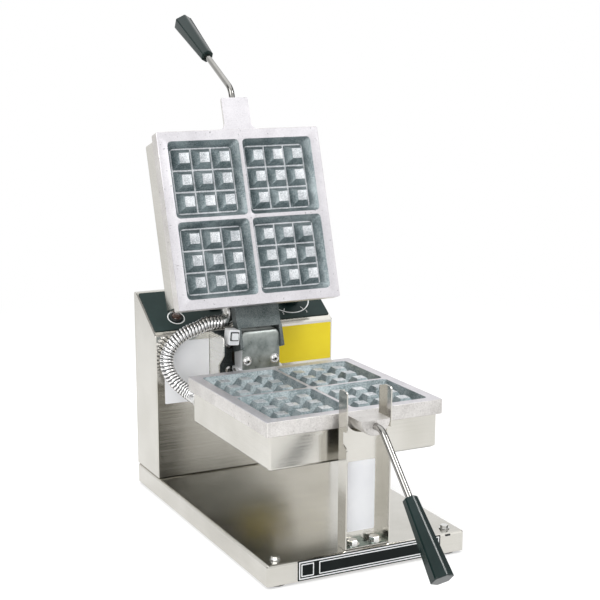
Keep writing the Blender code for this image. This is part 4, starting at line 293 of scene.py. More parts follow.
BY_SLOT = {
    "stainless": STEEL, "cast_aluminium": SKIRT, "dark_cast": DARK_CAST_AND_SHADE, "plated_steel": PLATED,
    "phenolic": PHENOLIC, "panel_black": ENAMEL, "rubber": RUBBER, "bronze": BRONZE,
    "heater_sheath": SHEATH, "moulding": MOULDING, "amber_lens": LENS,
}
BY_NODE = {"lamp_bezel": MOULDING}
for node, solid in NODES.items():
    for socket in solid.material_slots:
        socket.material = BY_NODE.get(node, BY_SLOT[SLOT_OF[node]])


# Making pieces
ROUND_SIDES = 32
HEXAGON = 6
SMOOTH_ANGLE = math.radians(35)
EASE_ANGLE = math.radians(30)
SAME_SPOT = 0.00001
FLAT_ANGLE = math.radians(0.6)


def placed(name, data, *finishes):
    """A new object in the scene with its finishes."""
    made = bpy.data.objects.new(name, data)
    bpy.context.scene.collection.objects.link(made)
    for finish in finishes:
        data.materials.append(finish)
    return made


def piece_of(name, mesh, body, slot, *finishes):
    """A shown piece that rides on a body, with the finishes given; its slot is not used."""
    made = placed(name, mesh, *finishes)
    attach(made, body)
    return made


def mesh_from(bm, name, outward=True):
    """The mesh of a bmesh, which is freed."""
    if outward:
        bmesh.ops.recalc_face_normals(bm, faces=bm.faces)
    mesh = bpy.data.meshes.new(name)
    bm.to_mesh(mesh)
    bm.free()
    return mesh


def bridge(bm, first, second):
    """Faces between two rings; a ring of one point is a tip."""
    count = max(len(first), len(second))
    for index in range(count):
        after = (index + 1) % count
        low = (first[index % len(first)], first[after % len(first)])
        high = (second[after % len(second)], second[index % len(second)])
        bm.faces.new(list(dict.fromkeys(low + high)))


def smooth(mesh, angle=SMOOTH_ANGLE):
    """Smooth shading that breaks at edges sharper than angle."""
    for face in mesh.polygons:
        face.use_smooth = True
    mesh.set_sharp_from_angle(angle=angle)


def cleaned(node):
    """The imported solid's shape without the extra edges of its triangles."""
    bm = bmesh.new()
    bm.from_mesh(NODES[node].data)
    bmesh.ops.remove_doubles(bm, verts=bm.verts, dist=SAME_SPOT)
    bmesh.ops.dissolve_limit(bm, angle_limit=FLAT_ANGLE, verts=bm.verts, edges=bm.edges)
    bmesh.ops.recalc_face_normals(bm, faces=bm.faces)
    return bm


def ease_edges(made, width, angle=EASE_ANGLE, edge=None):
    """Rounds a piece's sharp edges, which take the finish with number edge."""
    ease = made.modifiers.new("ease", "BEVEL")
    ease.width = width
    ease.segments = 2
    ease.limit_method = "ANGLE"
    ease.angle_limit = angle
    ease.harden_normals = True
    if edge is not None:
        ease.material = edge
    smooth(made.data, angle)


def stand_in(node, name, bm, width, *finishes, sort=None, edge=None, angle=EASE_ANGLE):
    """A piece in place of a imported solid, with its edges eased and each face's finish chosen by sort."""
    made = piece_of(name, mesh_from(bm, name, outward=False), BODY_OF[node], SLOT_OF[node], *finishes)
    for face in made.data.polygons:
        face.material_index = sort(face) if sort else 0
    ease_edges(made, width, angle, edge)
    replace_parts(made, node)


def softened(node, width, *finishes, **choices):
    """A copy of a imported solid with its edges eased."""
    stand_in(node, f"{node}_eased", cleaned(node), width, *finishes, **choices)


def ring_frames(points):
    """A square frame at each point of a line, turned as little as possible from one to the next."""
    frames = []
    side = None
    for index, point in enumerate(points):
        before = points[max(index - 1, 0)]
        after = points[min(index + 1, len(points) - 1)]
        along = (after - before).normalized()
        if side is None:
            side = along.orthogonal().normalized()
        side = (side - along * side.dot(along)).normalized()
        frames.append((point, side, along.cross(side)))
    return frames


def tube_mesh(name, points, radius_at, sides):
    """A round tube along points, whose radius is radius_at(ring, share round)."""
    bm = bmesh.new()
    rings = []
    for index, (point, side, up) in enumerate(ring_frames(points)):
        ring = []
        for step in range(sides):
            turn = 2 * math.pi * step / sides
            way = side * math.cos(turn) + up * math.sin(turn)
            ring.append(bm.verts.new(point + way * radius_at(index, step / sides)))
        rings.append(ring)
    for first, second in zip(rings, rings[1:]):
        bridge(bm, first, second)
    bm.faces.new(list(reversed(rings[0])))
    bm.faces.new(rings[-1])
    return mesh_from(bm, name, outward=False)


def turned_mesh(name, profile, spot, axis, sides=ROUND_SIDES):
    """A round piece from (radius, height) steps along axis, starting and ending on it."""
    bm = bmesh.new()
    turn = axis.to_track_quat("Z", "Y").to_matrix()
    rings = []
    for radius, height in profile:
        around = [2 * math.pi * step / sides for step in range(sides if radius else 1)]
        corners = [Vector((radius * math.cos(angle), radius * math.sin(angle), height)) for angle in around]
        rings.append([bm.verts.new(spot + turn @ corner) for corner in corners])
    for first, second in zip(rings, rings[1:]):
        bridge(bm, first, second)
    mesh = mesh_from(bm, name)
    smooth(mesh)
    return mesh


def rounded_loop(width, height, corner, steps=4):
    """The corners of a rounded oblong, anticlockwise round the origin."""
    loop = []
    for x, y, start in ((1, 1, 0), (-1, 1, 1), (-1, -1, 2), (1, -1, 3)):
        middle = (x * (width / 2 - corner), y * (height / 2 - corner))
        for step in range(steps + 1):
            turn = math.pi / 2 * (start + step / steps)
            loop.append((middle[0] + corner * math.cos(turn), middle[1] + corner * math.sin(turn)))
    return loop


def slab_mesh(name, loop, thickness, place, hole=None):
    """A thin flat piece from a loop, with its back on the plane of place and an optional opening."""
    bm = bmesh.new()

    def wall(points):
        rings = [[bm.verts.new(place @ Vector((x, y, z))) for x, y in points] for z in (0, thickness)]
        bridge(bm, *rings)
        return rings

    outer = wall(loop)
    if hole:
        for ring, inner in zip(outer, wall(hole)):
            bridge(bm, ring, inner)
    else:
        for ring in outer:
            bm.faces.new(ring)
    return mesh_from(bm, name)


def facing(spot, right, up):
    """A frame at spot whose X and Y are right and up."""
    right, up = Vector(right).normalized(), Vector(up).normalized()
    turn = Matrix((right, up, right.cross(up))).transposed().to_4x4()
    return Matrix.Translation(spot) @ turn


# The two grids, with machined lands and darker, sandy pockets, whose walls carry painted shade and whose peg
# tops and floors are painted lighter, with a painted highlight on their eased edges
FACE_GAP = 0.0003
LAND_DEPTH = 0.0003
PEG_DROP = 0.0015
POCKET_DEPTH = 0.0140
POCKET_SPAN = 0.1026
GRID_MIDDLE = 0.1463
DEPTH_MARGIN = 0.001
LEVEL = 0.9
GRID_EASE = 0.0007
GRID_FINISHES = (RIM, SKIRT, PEG_TOP, CHANNEL, POCKET, WORN_AND_HIGHLIT)
ON_LAND, ON_SIDE, ON_LIT_PEG, ON_LIT_FLOOR, ON_SHADED_WALL, ON_HIGHLIT_EDGE = range(len(GRID_FINISHES))


def grid_sorter(place, up_sign):
    """Gives each face of a grid its finish by its depth under the face and its slope; walls get a dark copy
    of the pocket finish as painted shade, peg tops and floors lighter copies as painted light.
    """
    back = place.inverted()

    def sort(face):
        spot = back @ face.center
        slope = (back.to_3x3() @ face.normal).z * up_sign
        depth = -spot.z * up_sign - FACE_GAP
        inside = max(abs(spot.x), abs(spot.y - GRID_MIDDLE)) < POCKET_SPAN
        if depth < LAND_DEPTH:
            return ON_LAND
        if not inside or depth > POCKET_DEPTH + DEPTH_MARGIN:
            return ON_SIDE
        if slope > LEVEL:
            return ON_LIT_PEG if depth < PEG_DROP + DEPTH_MARGIN else ON_LIT_FLOOR
        return ON_SHADED_WALL

    return sort


softened("lower_grid", GRID_EASE, *GRID_FINISHES, sort=grid_sorter(HEAD, 1), edge=ON_HIGHLIT_EDGE)
softened("upper_grid", GRID_EASE, *GRID_FINISHES, sort=grid_sorter(UPPER, -1), edge=ON_HIGHLIT_EDGE)

# Arms, bracket and elbow
ARM_EASE, BRACKET_EASE, ELBOW_EASE = 0.0006, 0.0004, 0.0005
BRACKET_WEB = 0.3300


def on_web(face):
    """1 on the bracket's web against the housing, where the dark finish is painted shade, and 0 on its
    flanges, whose pale finish is painted light.
    """
    return 1 if face.center.y - BASE_FRONT > BRACKET_WEB else 0


softened("lower_arm", ARM_EASE, ZINC_AND_LIT_SIDE)
# Its pale eased edges are partly wear and partly a painted highlight
softened("upper_arm", ARM_EASE, DARK_CAST_AND_SHADE, WORN_AND_HIGHLIT, edge=1)
# The bracket is one steel sheet: its pale flanges are painted light and its dark web painted shade
softened("trunnion_bracket", BRACKET_EASE, LIT_BRACKET_STEEL, DARK_CAST_AND_SHADE, sort=on_web)
softened("conduit_elbow", ELBOW_EASE, PLATED)

# Moulded grips
GRIP_CHAMFER = 0.0032
GRIP_EASE, GRIP_EASE_ANGLE = 0.0006, math.radians(22)
GRIP_ALONG = 0.97
GRIP_CREASE = 0.3


def edge_way(edge):
    """The direction of an edge."""
    return (edge.verts[1].co - edge.verts[0].co).normalized()


def grip(node):
    """A moulded grip with a narrow flat along each of its long edges."""
    bm = cleaned(node)
    bm.normal_update()
    axis = edge_way(max(bm.edges, key=lambda edge: edge.calc_length()))
    along = [edge for edge in bm.edges if abs(edge_way(edge).dot(axis)) > GRIP_ALONG]
    edges = [edge for edge in along if edge.calc_face_angle(0) > GRIP_CREASE]
    bmesh.ops.bevel(bm, geom=edges, offset=GRIP_CHAMFER, segments=1, profile=0.5, affect="EDGES")
    stand_in(node, f"{node}_moulded", bm, GRIP_EASE, PHENOLIC, angle=GRIP_EASE_ANGLE)


for half in ("lower", "upper"):
    grip(f"{half}_handle_grip")

# The hinge casting: flat in front, with rounded shoulders, and open for the pin
BLOCK_HALF = 0.0270
BLOCK_DEPTH = 0.0120
BLOCK_TOP = 0.0120
BLOCK_LEVELS = (-0.0622, -0.0300, -0.0120, -0.0040)
BLOCK_CORNER = 0.0050
BLOCK_SHOULDER = 0.0056
BLOCK_EASE = 0.0008
PIN_BORE = 0.0048
CORNER_STEPS = 5
CORNER_TURNS = [math.pi / 2 * step / CORNER_STEPS for step in range(CORNER_STEPS + 1)]
LIT_SIDEWAYS = 0.7


def block_loop(top):
    """The casting's outline round the pin as (y, z), from its front foot over the top to its back foot."""
    loop = [(-BLOCK_DEPTH, level) for level in BLOCK_LEVELS]
    for turn in CORNER_TURNS:
        y = -BLOCK_DEPTH + BLOCK_CORNER * (1 - math.cos(turn))
        loop.append((y, top - BLOCK_CORNER * (1 - math.sin(turn))))
    return loop + [(-y, z) for y, z in reversed(loop)]


def hinge_casting():
    """The block between the arms, lofted from side to side."""
    pin = HEAD @ PIN_LOCAL
    right = []
    for turn in CORNER_TURNS:
        x = BLOCK_HALF - BLOCK_SHOULDER * (1 - math.sin(turn))
        right.append((x, BLOCK_TOP - BLOCK_SHOULDER * (1 - math.cos(turn))))
    stations = [(-x, top) for x, top in reversed(right)] + right
    bm = bmesh.new()
    outer, inner = [], []
    for x, top in stations:
        loop = block_loop(top)
        bore = [Vector(spot).normalized() * PIN_BORE for spot in loop]
        outer.append([bm.verts.new(pin + Vector((x, y, z))) for y, z in loop])
        inner.append([bm.verts.new(pin + Vector((x, y, z))) for y, z in bore])
    for end in (0, -1):
        bridge(bm, outer[end], inner[end])
    for rings in (outer, inner):
        for first, second in zip(rings, rings[1:]):
            bridge(bm, first, second)
    bmesh.ops.recalc_face_normals(bm, faces=bm.faces)

    # The sides take the paler zinc finish and the front the darker casting: painted light and shade by which
    # way a face looks; eased edges carry a painted highlight
    def sort(face):
        return 2 if abs(face.normal.x) > LIT_SIDEWAYS else 0

    stand_in("hinge_block", "hinge_casting", bm, BLOCK_EASE, BLOCK, WORN_AND_HIGHLIT, ZINC_AND_LIT_SIDE, sort=sort, edge=1)


hinge_casting()

# Screws with a washer and a socket, and hexagon heads
WASHER_HEIGHT = 0.0008
WASHER_SPREAD = 1.18
DOME_STEPS = 6
DOME_RIM = 0.0004
RECESS_DEPTH = 0.0006
RECESS_PROUD = 0.00005
HINGE_SCREW_X, HINGE_SCREW_UP = 0.0198, 0.0030
HINGE_SCREW_HEAD, HINGE_SCREW_DOME = 0.0056, 0.0026
HINGE_SCREW_SHANK, HINGE_SCREW_REACH, HINGE_SCREW_SOCKET = 0.0028, 0.0290, 0.0019
POST_BOLT_PLACE = Vector((0.0145, BASE_FRONT + 0.0139, 0.0302))
HEX_RADIUS, HEX_HEIGHT = 0.0068, 0.0050
HEX_CHAMFER, HEX_CROWN = 0.0007, 0.86
HEX_WASHER = 0.0086


def socket_screw(node, spot):
    """A domed screw on its washer, in place of a packed one."""
    washer = HINGE_SCREW_HEAD * WASHER_SPREAD
    profile = [
        (0, -HINGE_SCREW_REACH), (HINGE_SCREW_SHANK, -HINGE_SCREW_REACH), (HINGE_SCREW_SHANK, 0),
        (washer, 0), (washer, WASHER_HEIGHT), (HINGE_SCREW_HEAD, WASHER_HEIGHT),
    ]
    rim = WASHER_HEIGHT + DOME_RIM
    for step in range(DOME_STEPS):
        turn = math.pi / 2 * step / DOME_STEPS
        profile.append((HINGE_SCREW_HEAD * math.cos(turn), rim + HINGE_SCREW_DOME * math.sin(turn)))
    top = rim + HINGE_SCREW_DOME
    profile.append((0, top))
    body, slot = BODY_OF[node], SLOT_OF[node]
    dome = turned_mesh(f"{node}_dome", profile, spot, FORWARD)
    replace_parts(piece_of(f"{node}_dome", dome, body, slot, PLATED), node)
    # The socket is a near-black disc just proud of the dome: painted shade in the recess
    low, high = top - RECESS_DEPTH, top + RECESS_PROUD
    recess_shade = [(0, low), (HINGE_SCREW_SOCKET, low), (HINGE_SCREW_SOCKET, high), (0, high)]
    socket = turned_mesh(f"{node}_socket", recess_shade, spot, FORWARD, HEXAGON)
    piece_of(f"{node}_socket", socket, body, slot, GROOVE_SHADE)


def hex_head(name, spot):
    """A hexagon head with a worn crown, on its washer."""
    profile = [(0, 0), (HEX_WASHER, 0), (HEX_WASHER, WASHER_HEIGHT), (0, WASHER_HEIGHT)]
    washer = turned_mesh(f"{name}_washer", profile, spot, UP)
    piece_of(f"{name}_washer", washer, "stand", "plated_steel", PLATED)
    low, high = WASHER_HEIGHT, WASHER_HEIGHT + HEX_HEIGHT
    shoulder, crown = high - HEX_CHAMFER, HEX_RADIUS * HEX_CROWN
    profile = [(0, low), (HEX_RADIUS, low), (HEX_RADIUS, shoulder), (crown, high), (0, high)]
    head = turned_mesh(f"{name}_hex", profile, spot, UP, HEXAGON)
    piece_of(f"{name}_hex", head, "stand", "plated_steel", PLATED)


for side, sign in (("left", -1), ("right", 1)):
    spot = HEAD @ Vector((sign * HINGE_SCREW_X, PIN_LOCAL.y - BLOCK_DEPTH, HINGE_SCREW_UP))
    socket_screw(f"hinge_screw_{side}", spot)
    spot = Vector((sign * POST_BOLT_PLACE.x, POST_BOLT_PLACE.y, POST_BOLT_PLACE.z))
    hex_head(f"post_bolt_{side}", spot)

# The square end of the hinge pin, with its nut
PIN_END_X, PIN_END_BACK, PIN_END_UP = -0.0402, 0.0010, 0.0070
PIN_END_WIDTH, PIN_END_HEIGHT, PIN_END_DEPTH = 0.0146, 0.0200, 0.0165
PIN_END_LEAN = 0.10
PIN_END_CORNER, PIN_NUT_CORNER = 0.0016, 0.0010
PIN_END_EASE = 0.0005
PIN_NUT_UP = 0.0016
PIN_SEAT_WIDTH, PIN_SEAT_HEIGHT = 0.0118, 0.0004
PIN_NUT_WIDTH, PIN_NUT_HEIGHT = 0.0086, 0.0034


def pin_end():
    """Three blocks on the pin's left end, which turn with the upper half."""
    spot = HEAD @ Vector((PIN_END_X, PIN_LOCAL.y - PIN_END_BACK, PIN_LOCAL.z + PIN_END_UP))
    place = facing(spot, (1, 0, -PIN_END_LEAN), (PIN_END_LEAN, 0, 1))
    front = place @ Matrix.Translation((0, PIN_NUT_UP, PIN_END_DEPTH))
    body, slot = "upper_half", "plated_steel"
    loop = rounded_loop(PIN_END_WIDTH, PIN_END_HEIGHT, PIN_END_CORNER)
    block = piece_of("pin_end", slab_mesh("pin_end", loop, PIN_END_DEPTH, place), body, slot, ZINC_AND_LIT_SIDE)
    # The seat is a thin near-black plate round the nut's foot: painted shade under the nut
    loop = rounded_loop(PIN_SEAT_WIDTH, PIN_SEAT_WIDTH, PIN_NUT_CORNER)
    piece_of("pin_nut_shade", slab_mesh("pin_nut_shade", loop, PIN_SEAT_HEIGHT, front), body, slot, GROOVE_SHADE)
    loop = rounded_loop(PIN_NUT_WIDTH, PIN_NUT_WIDTH, PIN_NUT_CORNER)
    nut = piece_of("pin_nut", slab_mesh("pin_nut", loop, PIN_NUT_HEIGHT, front), body, slot, ZINC_AND_LIT_SIDE)
    for made in (block, nut):
        ease_edges(made, PIN_END_EASE)


pin_end()

# Handle rods
ROD_RADIUS = 0.0040
ROD_START = 0.0087
ROD_DROP = 0.0078
ROD_LENGTH = 0.1070
BEND_START = 0.0157
BEND_RADIUS = 0.0220
BEND_STEPS = 16
HANDLE_ANGLE = math.radians(45)


def handle_rod(half, place, up_sign):
    """The bent rod between a neck and its grip."""
    route = [Vector((0, ROD_START, -ROD_DROP * up_sign))]
    for step in range(BEND_STEPS + 1):
        turn = HANDLE_ANGLE * step / BEND_STEPS
        y = -BEND_START - BEND_RADIUS * math.sin(turn)
        z = -ROD_DROP - BEND_RADIUS * (1 - math.cos(turn))
        route.append(Vector((0, y, z * up_sign)))
    along = Vector((0, -math.cos(HANDLE_ANGLE), -math.sin(HANDLE_ANGLE) * up_sign))
    route.append(route[-1] + along * ROD_LENGTH)
    points = [place @ point for point in route]
    mesh = tube_mesh(f"{half}_rod", points, lambda ring, share: ROD_RADIUS, ROUND_SIDES)
    smooth(mesh)
    made = piece_of(f"{half}_rod", mesh, f"{half}_half", "plated_steel", ROD)
    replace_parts(made, f"{half}_handle_rod")


handle_rod("lower", HEAD, 1)
handle_rod("upper", UPPER, -1)

# The armoured conduit: a strip wound into a ribbed tube, from its connector to its elbow
CONDUIT_RADIUS = 0.0094
CONDUIT_PITCH = 0.0046
CONDUIT_GROOVE = 0.0013
CONDUIT_CREST = 7
CONDUIT_STEPS = 7
CONDUIT_SIDES = 28
GROOVE_SHADE_SHARE = 0.15
CONDUIT_ROUTE = [
    (-0.1030, 0.2990, -0.0290), (-0.1130, 0.3110, -0.0185), (-0.1195, 0.3195, -0.0025),
    (-0.1185, 0.3240, 0.0140), (-0.1090, 0.3250, 0.0290), (-0.0930, 0.3250, 0.0400),
    (-0.0740, 0.3248, 0.0465),
]
CONNECTOR_FACE = Vector((-0.0980, 0.2672, -0.0335))
ELBOW_CORNER_SHUT = Vector((-0.0290, 0.2764, 0.0457))
ELBOW_MOUTH = 0.0133
LINE_STEPS = 24


def even_line(points, start_way, end_way, spacing):
    """Even steps along a smooth line through points with set directions at its ends."""
    ways = [start_way]
    for before, here, after in zip(points, points[1:], points[2:]):
        ways.append(((here - before).normalized() + (after - here).normalized()).normalized())
    ways.append(end_way)
    fine = [points[0]]
    for index in range(len(points) - 1):
        first, second = points[index], points[index + 1]
        reach = (second - first).length / 3
        leave, arrive = first + ways[index] * reach, second - ways[index + 1] * reach
        fine += interpolate_bezier(first, leave, arrive, second, LINE_STEPS)[1:]
    lengths = [0.0]
    for first, second in zip(fine, fine[1:]):
        lengths.append(lengths[-1] + (second - first).length)
    count = round(lengths[-1] / spacing)
    even, spot = [], 0
    for step in range(count + 1):
        wanted = lengths[-1] * step / count
        while spot < len(fine) - 2 and lengths[spot + 1] < wanted:
            spot += 1
        share = (wanted - lengths[spot]) / (lengths[spot + 1] - lengths[spot])
        even.append(fine[spot].lerp(fine[spot + 1], share))
    return even


def conduit():
    """The wound conduit, laid between the two halves as they stand open."""
    diameter = 2 * CONDUIT_RADIUS
    mouth = HEAD @ CONNECTOR_FACE
    landing = UPPER @ ELBOW_CORNER_SHUT + Vector((-ELBOW_MOUTH, 0, 0))
    middle = [HEAD @ Vector(point) for point in CONDUIT_ROUTE]
    bend_end = landing - RIGHT * diameter
    route = [mouth, mouth + BACK * diameter, *middle, bend_end, landing]
    points = even_line(route, BACK, RIGHT, CONDUIT_PITCH / CONDUIT_STEPS)

    def radius_at(ring, share):
        groove = abs(math.cos(math.pi * (ring / CONDUIT_STEPS + share))) ** CONDUIT_CREST
        return CONDUIT_RADIUS - CONDUIT_GROOVE * groove

    mesh = tube_mesh("wound_conduit", points, radius_at, CONDUIT_SIDES)
    for face in mesh.polygons:
        face.use_smooth = True
        # Faces in the winding's groove take the near-black finish: painted shade in the groove
        ring, step = divmod(face.index, CONDUIT_SIDES)
        turn = ((ring + 0.5) / CONDUIT_STEPS + (step + 0.5) / CONDUIT_SIDES) % 1
        face.material_index = 1 if min(turn, 1 - turn) < GROOVE_SHADE_SHARE else 0
    made = placed("wound_conduit", mesh, STRIP, GROOVE_SHADE)
    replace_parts(made, "conduit")
    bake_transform(made)


conduit()

# Bare plates and printed frames
PLATE_THICKNESS = 0.00025
PLATE_CORNER = 0.0015
PRINT_THICKNESS = 0.00006
LIFT = 0.00002
SHARPEST_CORNER = 0.0002


def plate(
    name, place, width, height, finish, corner=PLATE_CORNER,
    lift=LIFT, thickness=PLATE_THICKNESS, body="stand", slot="stainless",
):
    """A thin blank plate on a surface."""
    spot = place @ Matrix.Translation((0, 0, lift))
    mesh = slab_mesh(name, rounded_loop(width, height, corner), thickness, spot)
    piece_of(name, mesh, body, slot, finish)


def border(name, place, width, height, line, corner, lift):
    """A printed frame of one line on a surface."""
    spot = place @ Matrix.Translation((0, 0, lift))
    outer = rounded_loop(width, height, corner)
    inner = rounded_loop(width - 2 * line, height - 2 * line, max(corner - line, SHARPEST_CORNER))
    piece_of(name, slab_mesh(name, outer, PRINT_THICKNESS, spot, inner), "stand", "stainless", PRINT)


def front_at(x, y, z):
    """A frame on a wall that faces forward."""
    return facing((x, y, z), RIGHT, UP)


# The two plates on the housing: name, x, z, width, height and finish
HOUSING_PLATES = (
    ("white_plate", -0.0863, 0.1715, 0.0635, 0.0830, PAPER),
    ("yellow_plate", 0.0880, 0.1925, 0.0790, 0.0510, YELLOW),
)
for name, x, z, width, height, finish in HOUSING_PLATES:
    plate(name, front_at(x, HOUSING_FRONT, z), width, height, finish)

# The bare badge with its printed frames: name, x, width, height and line of each
BADGE_X, BADGE_Z = 0.0025, 0.0155
BADGE_WIDTH, BADGE_HEIGHT, BADGE_CORNER = 0.1890, 0.0240, 0.0010
FRAME_CORNER = 0.0006
BADGE_FRAMES = (
    ("badge_frame", BADGE_X, 0.1858, 0.0212, 0.0014),
    ("badge_field", 0.0140, 0.1575, 0.0152, 0.0012),
    ("badge_square", -0.0795, 0.0160, 0.0152, 0.0012),
)
plate("badge", front_at(BADGE_X, BASE_FRONT, BADGE_Z), BADGE_WIDTH, BADGE_HEIGHT, BADGE, BADGE_CORNER)
for name, x, width, height, line in BADGE_FRAMES:
    border(name, front_at(x, BASE_FRONT, BADGE_Z), width, height, line, FRAME_CORNER, LIFT + PLATE_THICKNESS)

# The notch in the base's edge, shown as a black plate: painted shade in the opening
NOTCH_X, NOTCH_Z = 0.1075, 0.0258
NOTCH_WIDTH, NOTCH_HEIGHT, NOTCH_CORNER = 0.0070, 0.0024, 0.0006
notch_shade = front_at(NOTCH_X, BASE_FRONT, NOTCH_Z)
plate("base_notch_shade", notch_shade, NOTCH_WIDTH, NOTCH_HEIGHT, MOULDING, NOTCH_CORNER)

# The post's foot, in dark green steel: a painted reflection
FOOT_Y, FOOT_Z = BASE_FRONT + 0.0126, 0.0298
FOOT_WIDTH, FOOT_DEPTH, FOOT_CORNER = 0.0540, 0.0150, 0.0010
foot_top = facing((0, FOOT_Y, FOOT_Z), RIGHT, BACK)
plate("post_foot_reflection", foot_top, FOOT_WIDTH, FOOT_DEPTH, FOOT_REFLECTION, FOOT_CORNER)

# A dark sheet on the lower pan's underside: painted shade under the pan, which the base top mirrors
UNDER_MARGIN, UNDER_CORNER = 0.002, 0.004
pan_low, pan_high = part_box("lower_pan")
pan_middle, pan_size = (pan_low + pan_high) / 2, pan_high - pan_low
pan_under = facing((pan_middle.x, pan_middle.y, pan_low.z), RIGHT, FORWARD)
under_width, under_depth = pan_size.x - 2 * UNDER_MARGIN, pan_size.y - 2 * UNDER_MARGIN
plate("pan_underside_shade", pan_under, under_width, under_depth, UNDER_PAN_SHADE, UNDER_CORNER, body="lower_half")

# The bare plate on the post
POST_SHEET = 0.0015
POST_PLATE_Z, POST_PLATE_WIDTH, POST_PLATE_HEIGHT = 0.0855, 0.0360, 0.0850
post_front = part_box("front_post")[1].y - POST_SHEET
plate("post_plate", front_at(0, post_front, POST_PLATE_Z), POST_PLATE_WIDTH, POST_PLATE_HEIGHT, PAPER)

# Printed rings, marks and numbers on the control panel
TIMER_X, TIMER_UP = 0.0790, 0.0470
TIMER_RADIUS, TIMER_START, TIMER_END = 0.0300, -240, 60
LAMP_X, LAMP_UP, LAMP_RADIUS = -0.0918, 0.0280, 0.0104
RING_WIDTH, RING_STEPS = 0.0016, 64
MINUTES, MINUTE_TURN = 6, 60
TICK_AT, TICK_LENGTH, TICK_WIDTH, TICK_CORNER = 0.0268, 0.0050, 0.0010, 0.0002
NUMBER_AT, NUMBER_SIZE = 0.0355, 0.0062


def panel_at(x, up, lift=LIFT):
    """A frame on the sloped control panel."""
    return PANEL @ Matrix.Translation((x, up, PANEL_TOP + lift))


def arc_band(name, place, radius, start, end):
    """A printed arc on the panel, from start to end in degrees."""
    bm = bmesh.new()
    reach = radius + RING_WIDTH
    corners = ((radius, 0), (reach, 0), (reach, PRINT_THICKNESS), (radius, PRINT_THICKNESS))
    rings = []
    for step in range(RING_STEPS + 1):
        turn = math.radians(start + (end - start) * step / RING_STEPS)
        way = Vector((math.cos(turn), math.sin(turn), 0))
        rings.append([bm.verts.new(place @ (way * out + Vector((0, 0, up)))) for out, up in corners])
    for first, second in zip(rings, rings[1:]):
        bridge(bm, first, second)
    bm.faces.new(rings[0])
    bm.faces.new(list(reversed(rings[-1])))
    piece_of(name, mesh_from(bm, name), "stand", "panel_black", PRINT)


def minute_mark(minute):
    """A tick on the timer's ring, with its number."""
    turn = math.radians(TIMER_END - MINUTE_TURN * minute)
    centre = panel_at(TIMER_X, TIMER_UP)
    tick = centre @ Matrix.Rotation(turn, 4, "Z") @ Matrix.Translation((TICK_AT, 0, 0))
    plate(
        f"timer_tick_{minute}", tick, TICK_LENGTH, TICK_WIDTH, PRINT, TICK_CORNER,
        lift=0, thickness=PRINT_THICKNESS, slot="panel_black",
    )
    writing = bpy.data.curves.new(f"timer_number_{minute}", "FONT")
    writing.body = str(minute)
    writing.size = NUMBER_SIZE
    writing.align_x = "CENTER"
    writing.align_y = "CENTER"
    writing.extrude = PRINT_THICKNESS / 2
    number = placed(f"timer_number_{minute}", writing, PRINT)
    x, up = TIMER_X + NUMBER_AT * math.cos(turn), TIMER_UP + NUMBER_AT * math.sin(turn)
    number.matrix_world = panel_at(x, up, LIFT + PRINT_THICKNESS / 2)
    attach(number, "stand")


arc_band("timer_ring", panel_at(TIMER_X, TIMER_UP), TIMER_RADIUS, TIMER_START, TIMER_END)
arc_band("lamp_ring", panel_at(LAMP_X, LAMP_UP), LAMP_RADIUS, 0, 360)
for minute in range(MINUTES):
    minute_mark(minute)

# Camera: its place, its own right and up, and its focal length, worked out from the photograph
CAMERA_SPOT = Vector((-0.73778, -1.27361, 0.61070))
CAMERA_RIGHT = Vector((0.90101907, -0.43377739, -0.00134837))
CAMERA_UP = Vector((0.10221957, 0.20930208, 0.9724936))
FOCAL_PIXELS = 1354.96
CENTRE_PIXEL = (270.94, 353.08)
FRAME_PIXELS = 600
SENSOR = 36.0

camera = placed("camera", bpy.data.cameras.new("camera"))
turn = Matrix((CAMERA_RIGHT, CAMERA_UP, CAMERA_RIGHT.cross(CAMERA_UP))).transposed().to_4x4()
camera.matrix_world = Matrix.Translation(CAMERA_SPOT + Vector((0, BASE_FRONT, 0))) @ turn
camera.data.sensor_width = SENSOR
camera.data.lens = FOCAL_PIXELS * SENSOR / FRAME_PIXELS
camera.data.shift_x = 0.5 - CENTRE_PIXEL[0] / FRAME_PIXELS
camera.data.shift_y = CENTRE_PIXEL[1] / FRAME_PIXELS - 0.5
bpy.context.scene.camera = camera

# Soft square lamps aimed at the machine: name, place, size and watts
LAMP_AIM = Vector((0, 0, 0.25))
LAMPS = (
    ("key", (-2.3, -0.5, 2.2), 1.6, 30),
    ("fill", (1.9, -1.6, 1.2), 1.8, 6),
    ("top", (0.2, 0.6, 2.8), 2.8, 14),
    ("front", (-1.5, -1.5, 0.35), 1.0, 11),
    ("edge", (1.1, -0.95, 1.95), 0.34, 6),
)
for name, spot, size, watts in LAMPS:
    light = bpy.data.lights.new(name, "AREA")
    light.shape = "SQUARE"
    light.size = size
    light.energy = watts
    made = placed(name, light)
    made.location = spot
    made.rotation_euler = (LAMP_AIM - Vector(spot)).to_track_quat("-Z", "Y").to_euler()

# The surroundings' strength as light and as seen, and the dark cards by how far to the side they stand
WORLD_LIGHT, WORLD_SEEN = 0.86, 1.0
CARD_START, CARD_END, CARD_DEPTH = 0.56, 0.72, 0.74


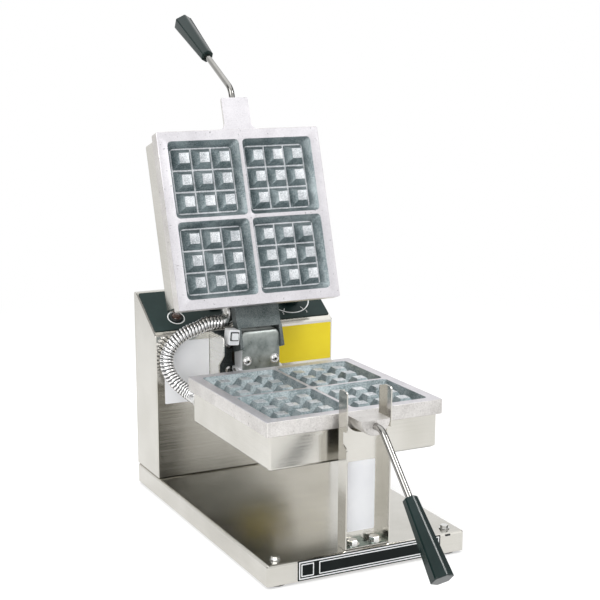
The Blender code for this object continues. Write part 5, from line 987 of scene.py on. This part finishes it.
def studio_world():
    """White surroundings, with a dark card far to each side that only mirrors see."""
    world = bpy.data.worlds.new("studio")
    world.use_nodes = True
    bpy.context.scene.world = world
    sky = Nodes(world.node_tree)
    rays = sky.step("ShaderNodeLightPath").outputs
    strength = sky.between(sky.seen(rays), WORLD_LIGHT, WORLD_SEEN, 0, 1)
    way = sky.step("ShaderNodeTexCoord").outputs["Generated"]
    aside = sky.maths(sky.step("ShaderNodeSeparateXYZ", {0: way}).outputs[0], 0, "ABSOLUTE")
    card = sky.between(aside, 0, CARD_DEPTH, CARD_START, CARD_END, interpolation_type="SMOOTHSTEP")
    left_over = sky.maths(1.0, sky.maths(card, rays["Is Glossy Ray"], "MULTIPLY"), "SUBTRACT")
    background = sky.tree.nodes["Background"]
    background.inputs["Color"].default_value = (1, 1, 1, 1)
    sky.tree.links.new(sky.maths(strength, left_over, "MULTIPLY"), background.inputs["Strength"])


studio_world()

# A pale floor that takes the shadow and runs out into the white behind it
FLOOR_RADIUS, FLOOR_SIDES = 14, 64
FADE_START, FADE_END = 0.55, 1.50
FLOOR_COLOUR = (0.60, 0.60, 0.60, 1)
FLOOR_GLOW = 0.46


def floor_material():
    """A matt floor near the machine, and plain white for the camera and mirrors far from it."""
    made = Finish("floor")
    made.tree.nodes.remove(made.shader)
    diffuse = made.step("ShaderNodeBsdfDiffuse", {"Color": FLOOR_COLOUR})
    watched = made.seen(made.step("ShaderNodeLightPath").outputs)
    glow = made.step("ShaderNodeEmission", {"Strength": made.maths(watched, FLOOR_GLOW, "MULTIPLY")})
    near = made.step("ShaderNodeAddShader", {0: diffuse.outputs[0], 1: glow.outputs[0]})
    away = made.step("ShaderNodeVectorMath", {0: made.place()}, operation="LENGTH").outputs["Value"]
    faded = made.between(away, 0, 1, FADE_START, FADE_END, interpolation_type="SMOOTHSTEP")
    share = made.maths(faded, watched, "MULTIPLY")
    white = made.step("ShaderNodeEmission", {"Strength": 1.0})
    surface = made.step("ShaderNodeMixShader", {0: share, 1: near.outputs[0], 2: white.outputs[0]})
    made.tree.links.new(surface.outputs[0], made.tree.nodes["Material Output"].inputs["Surface"])
    return made.material


disc = bmesh.new()
bmesh.ops.create_circle(disc, cap_ends=True, segments=FLOOR_SIDES, radius=FLOOR_RADIUS)
placed("floor", mesh_from(disc, "floor", outward=False), floor_material())

bpy.context.scene.view_settings.view_transform = "Standard"
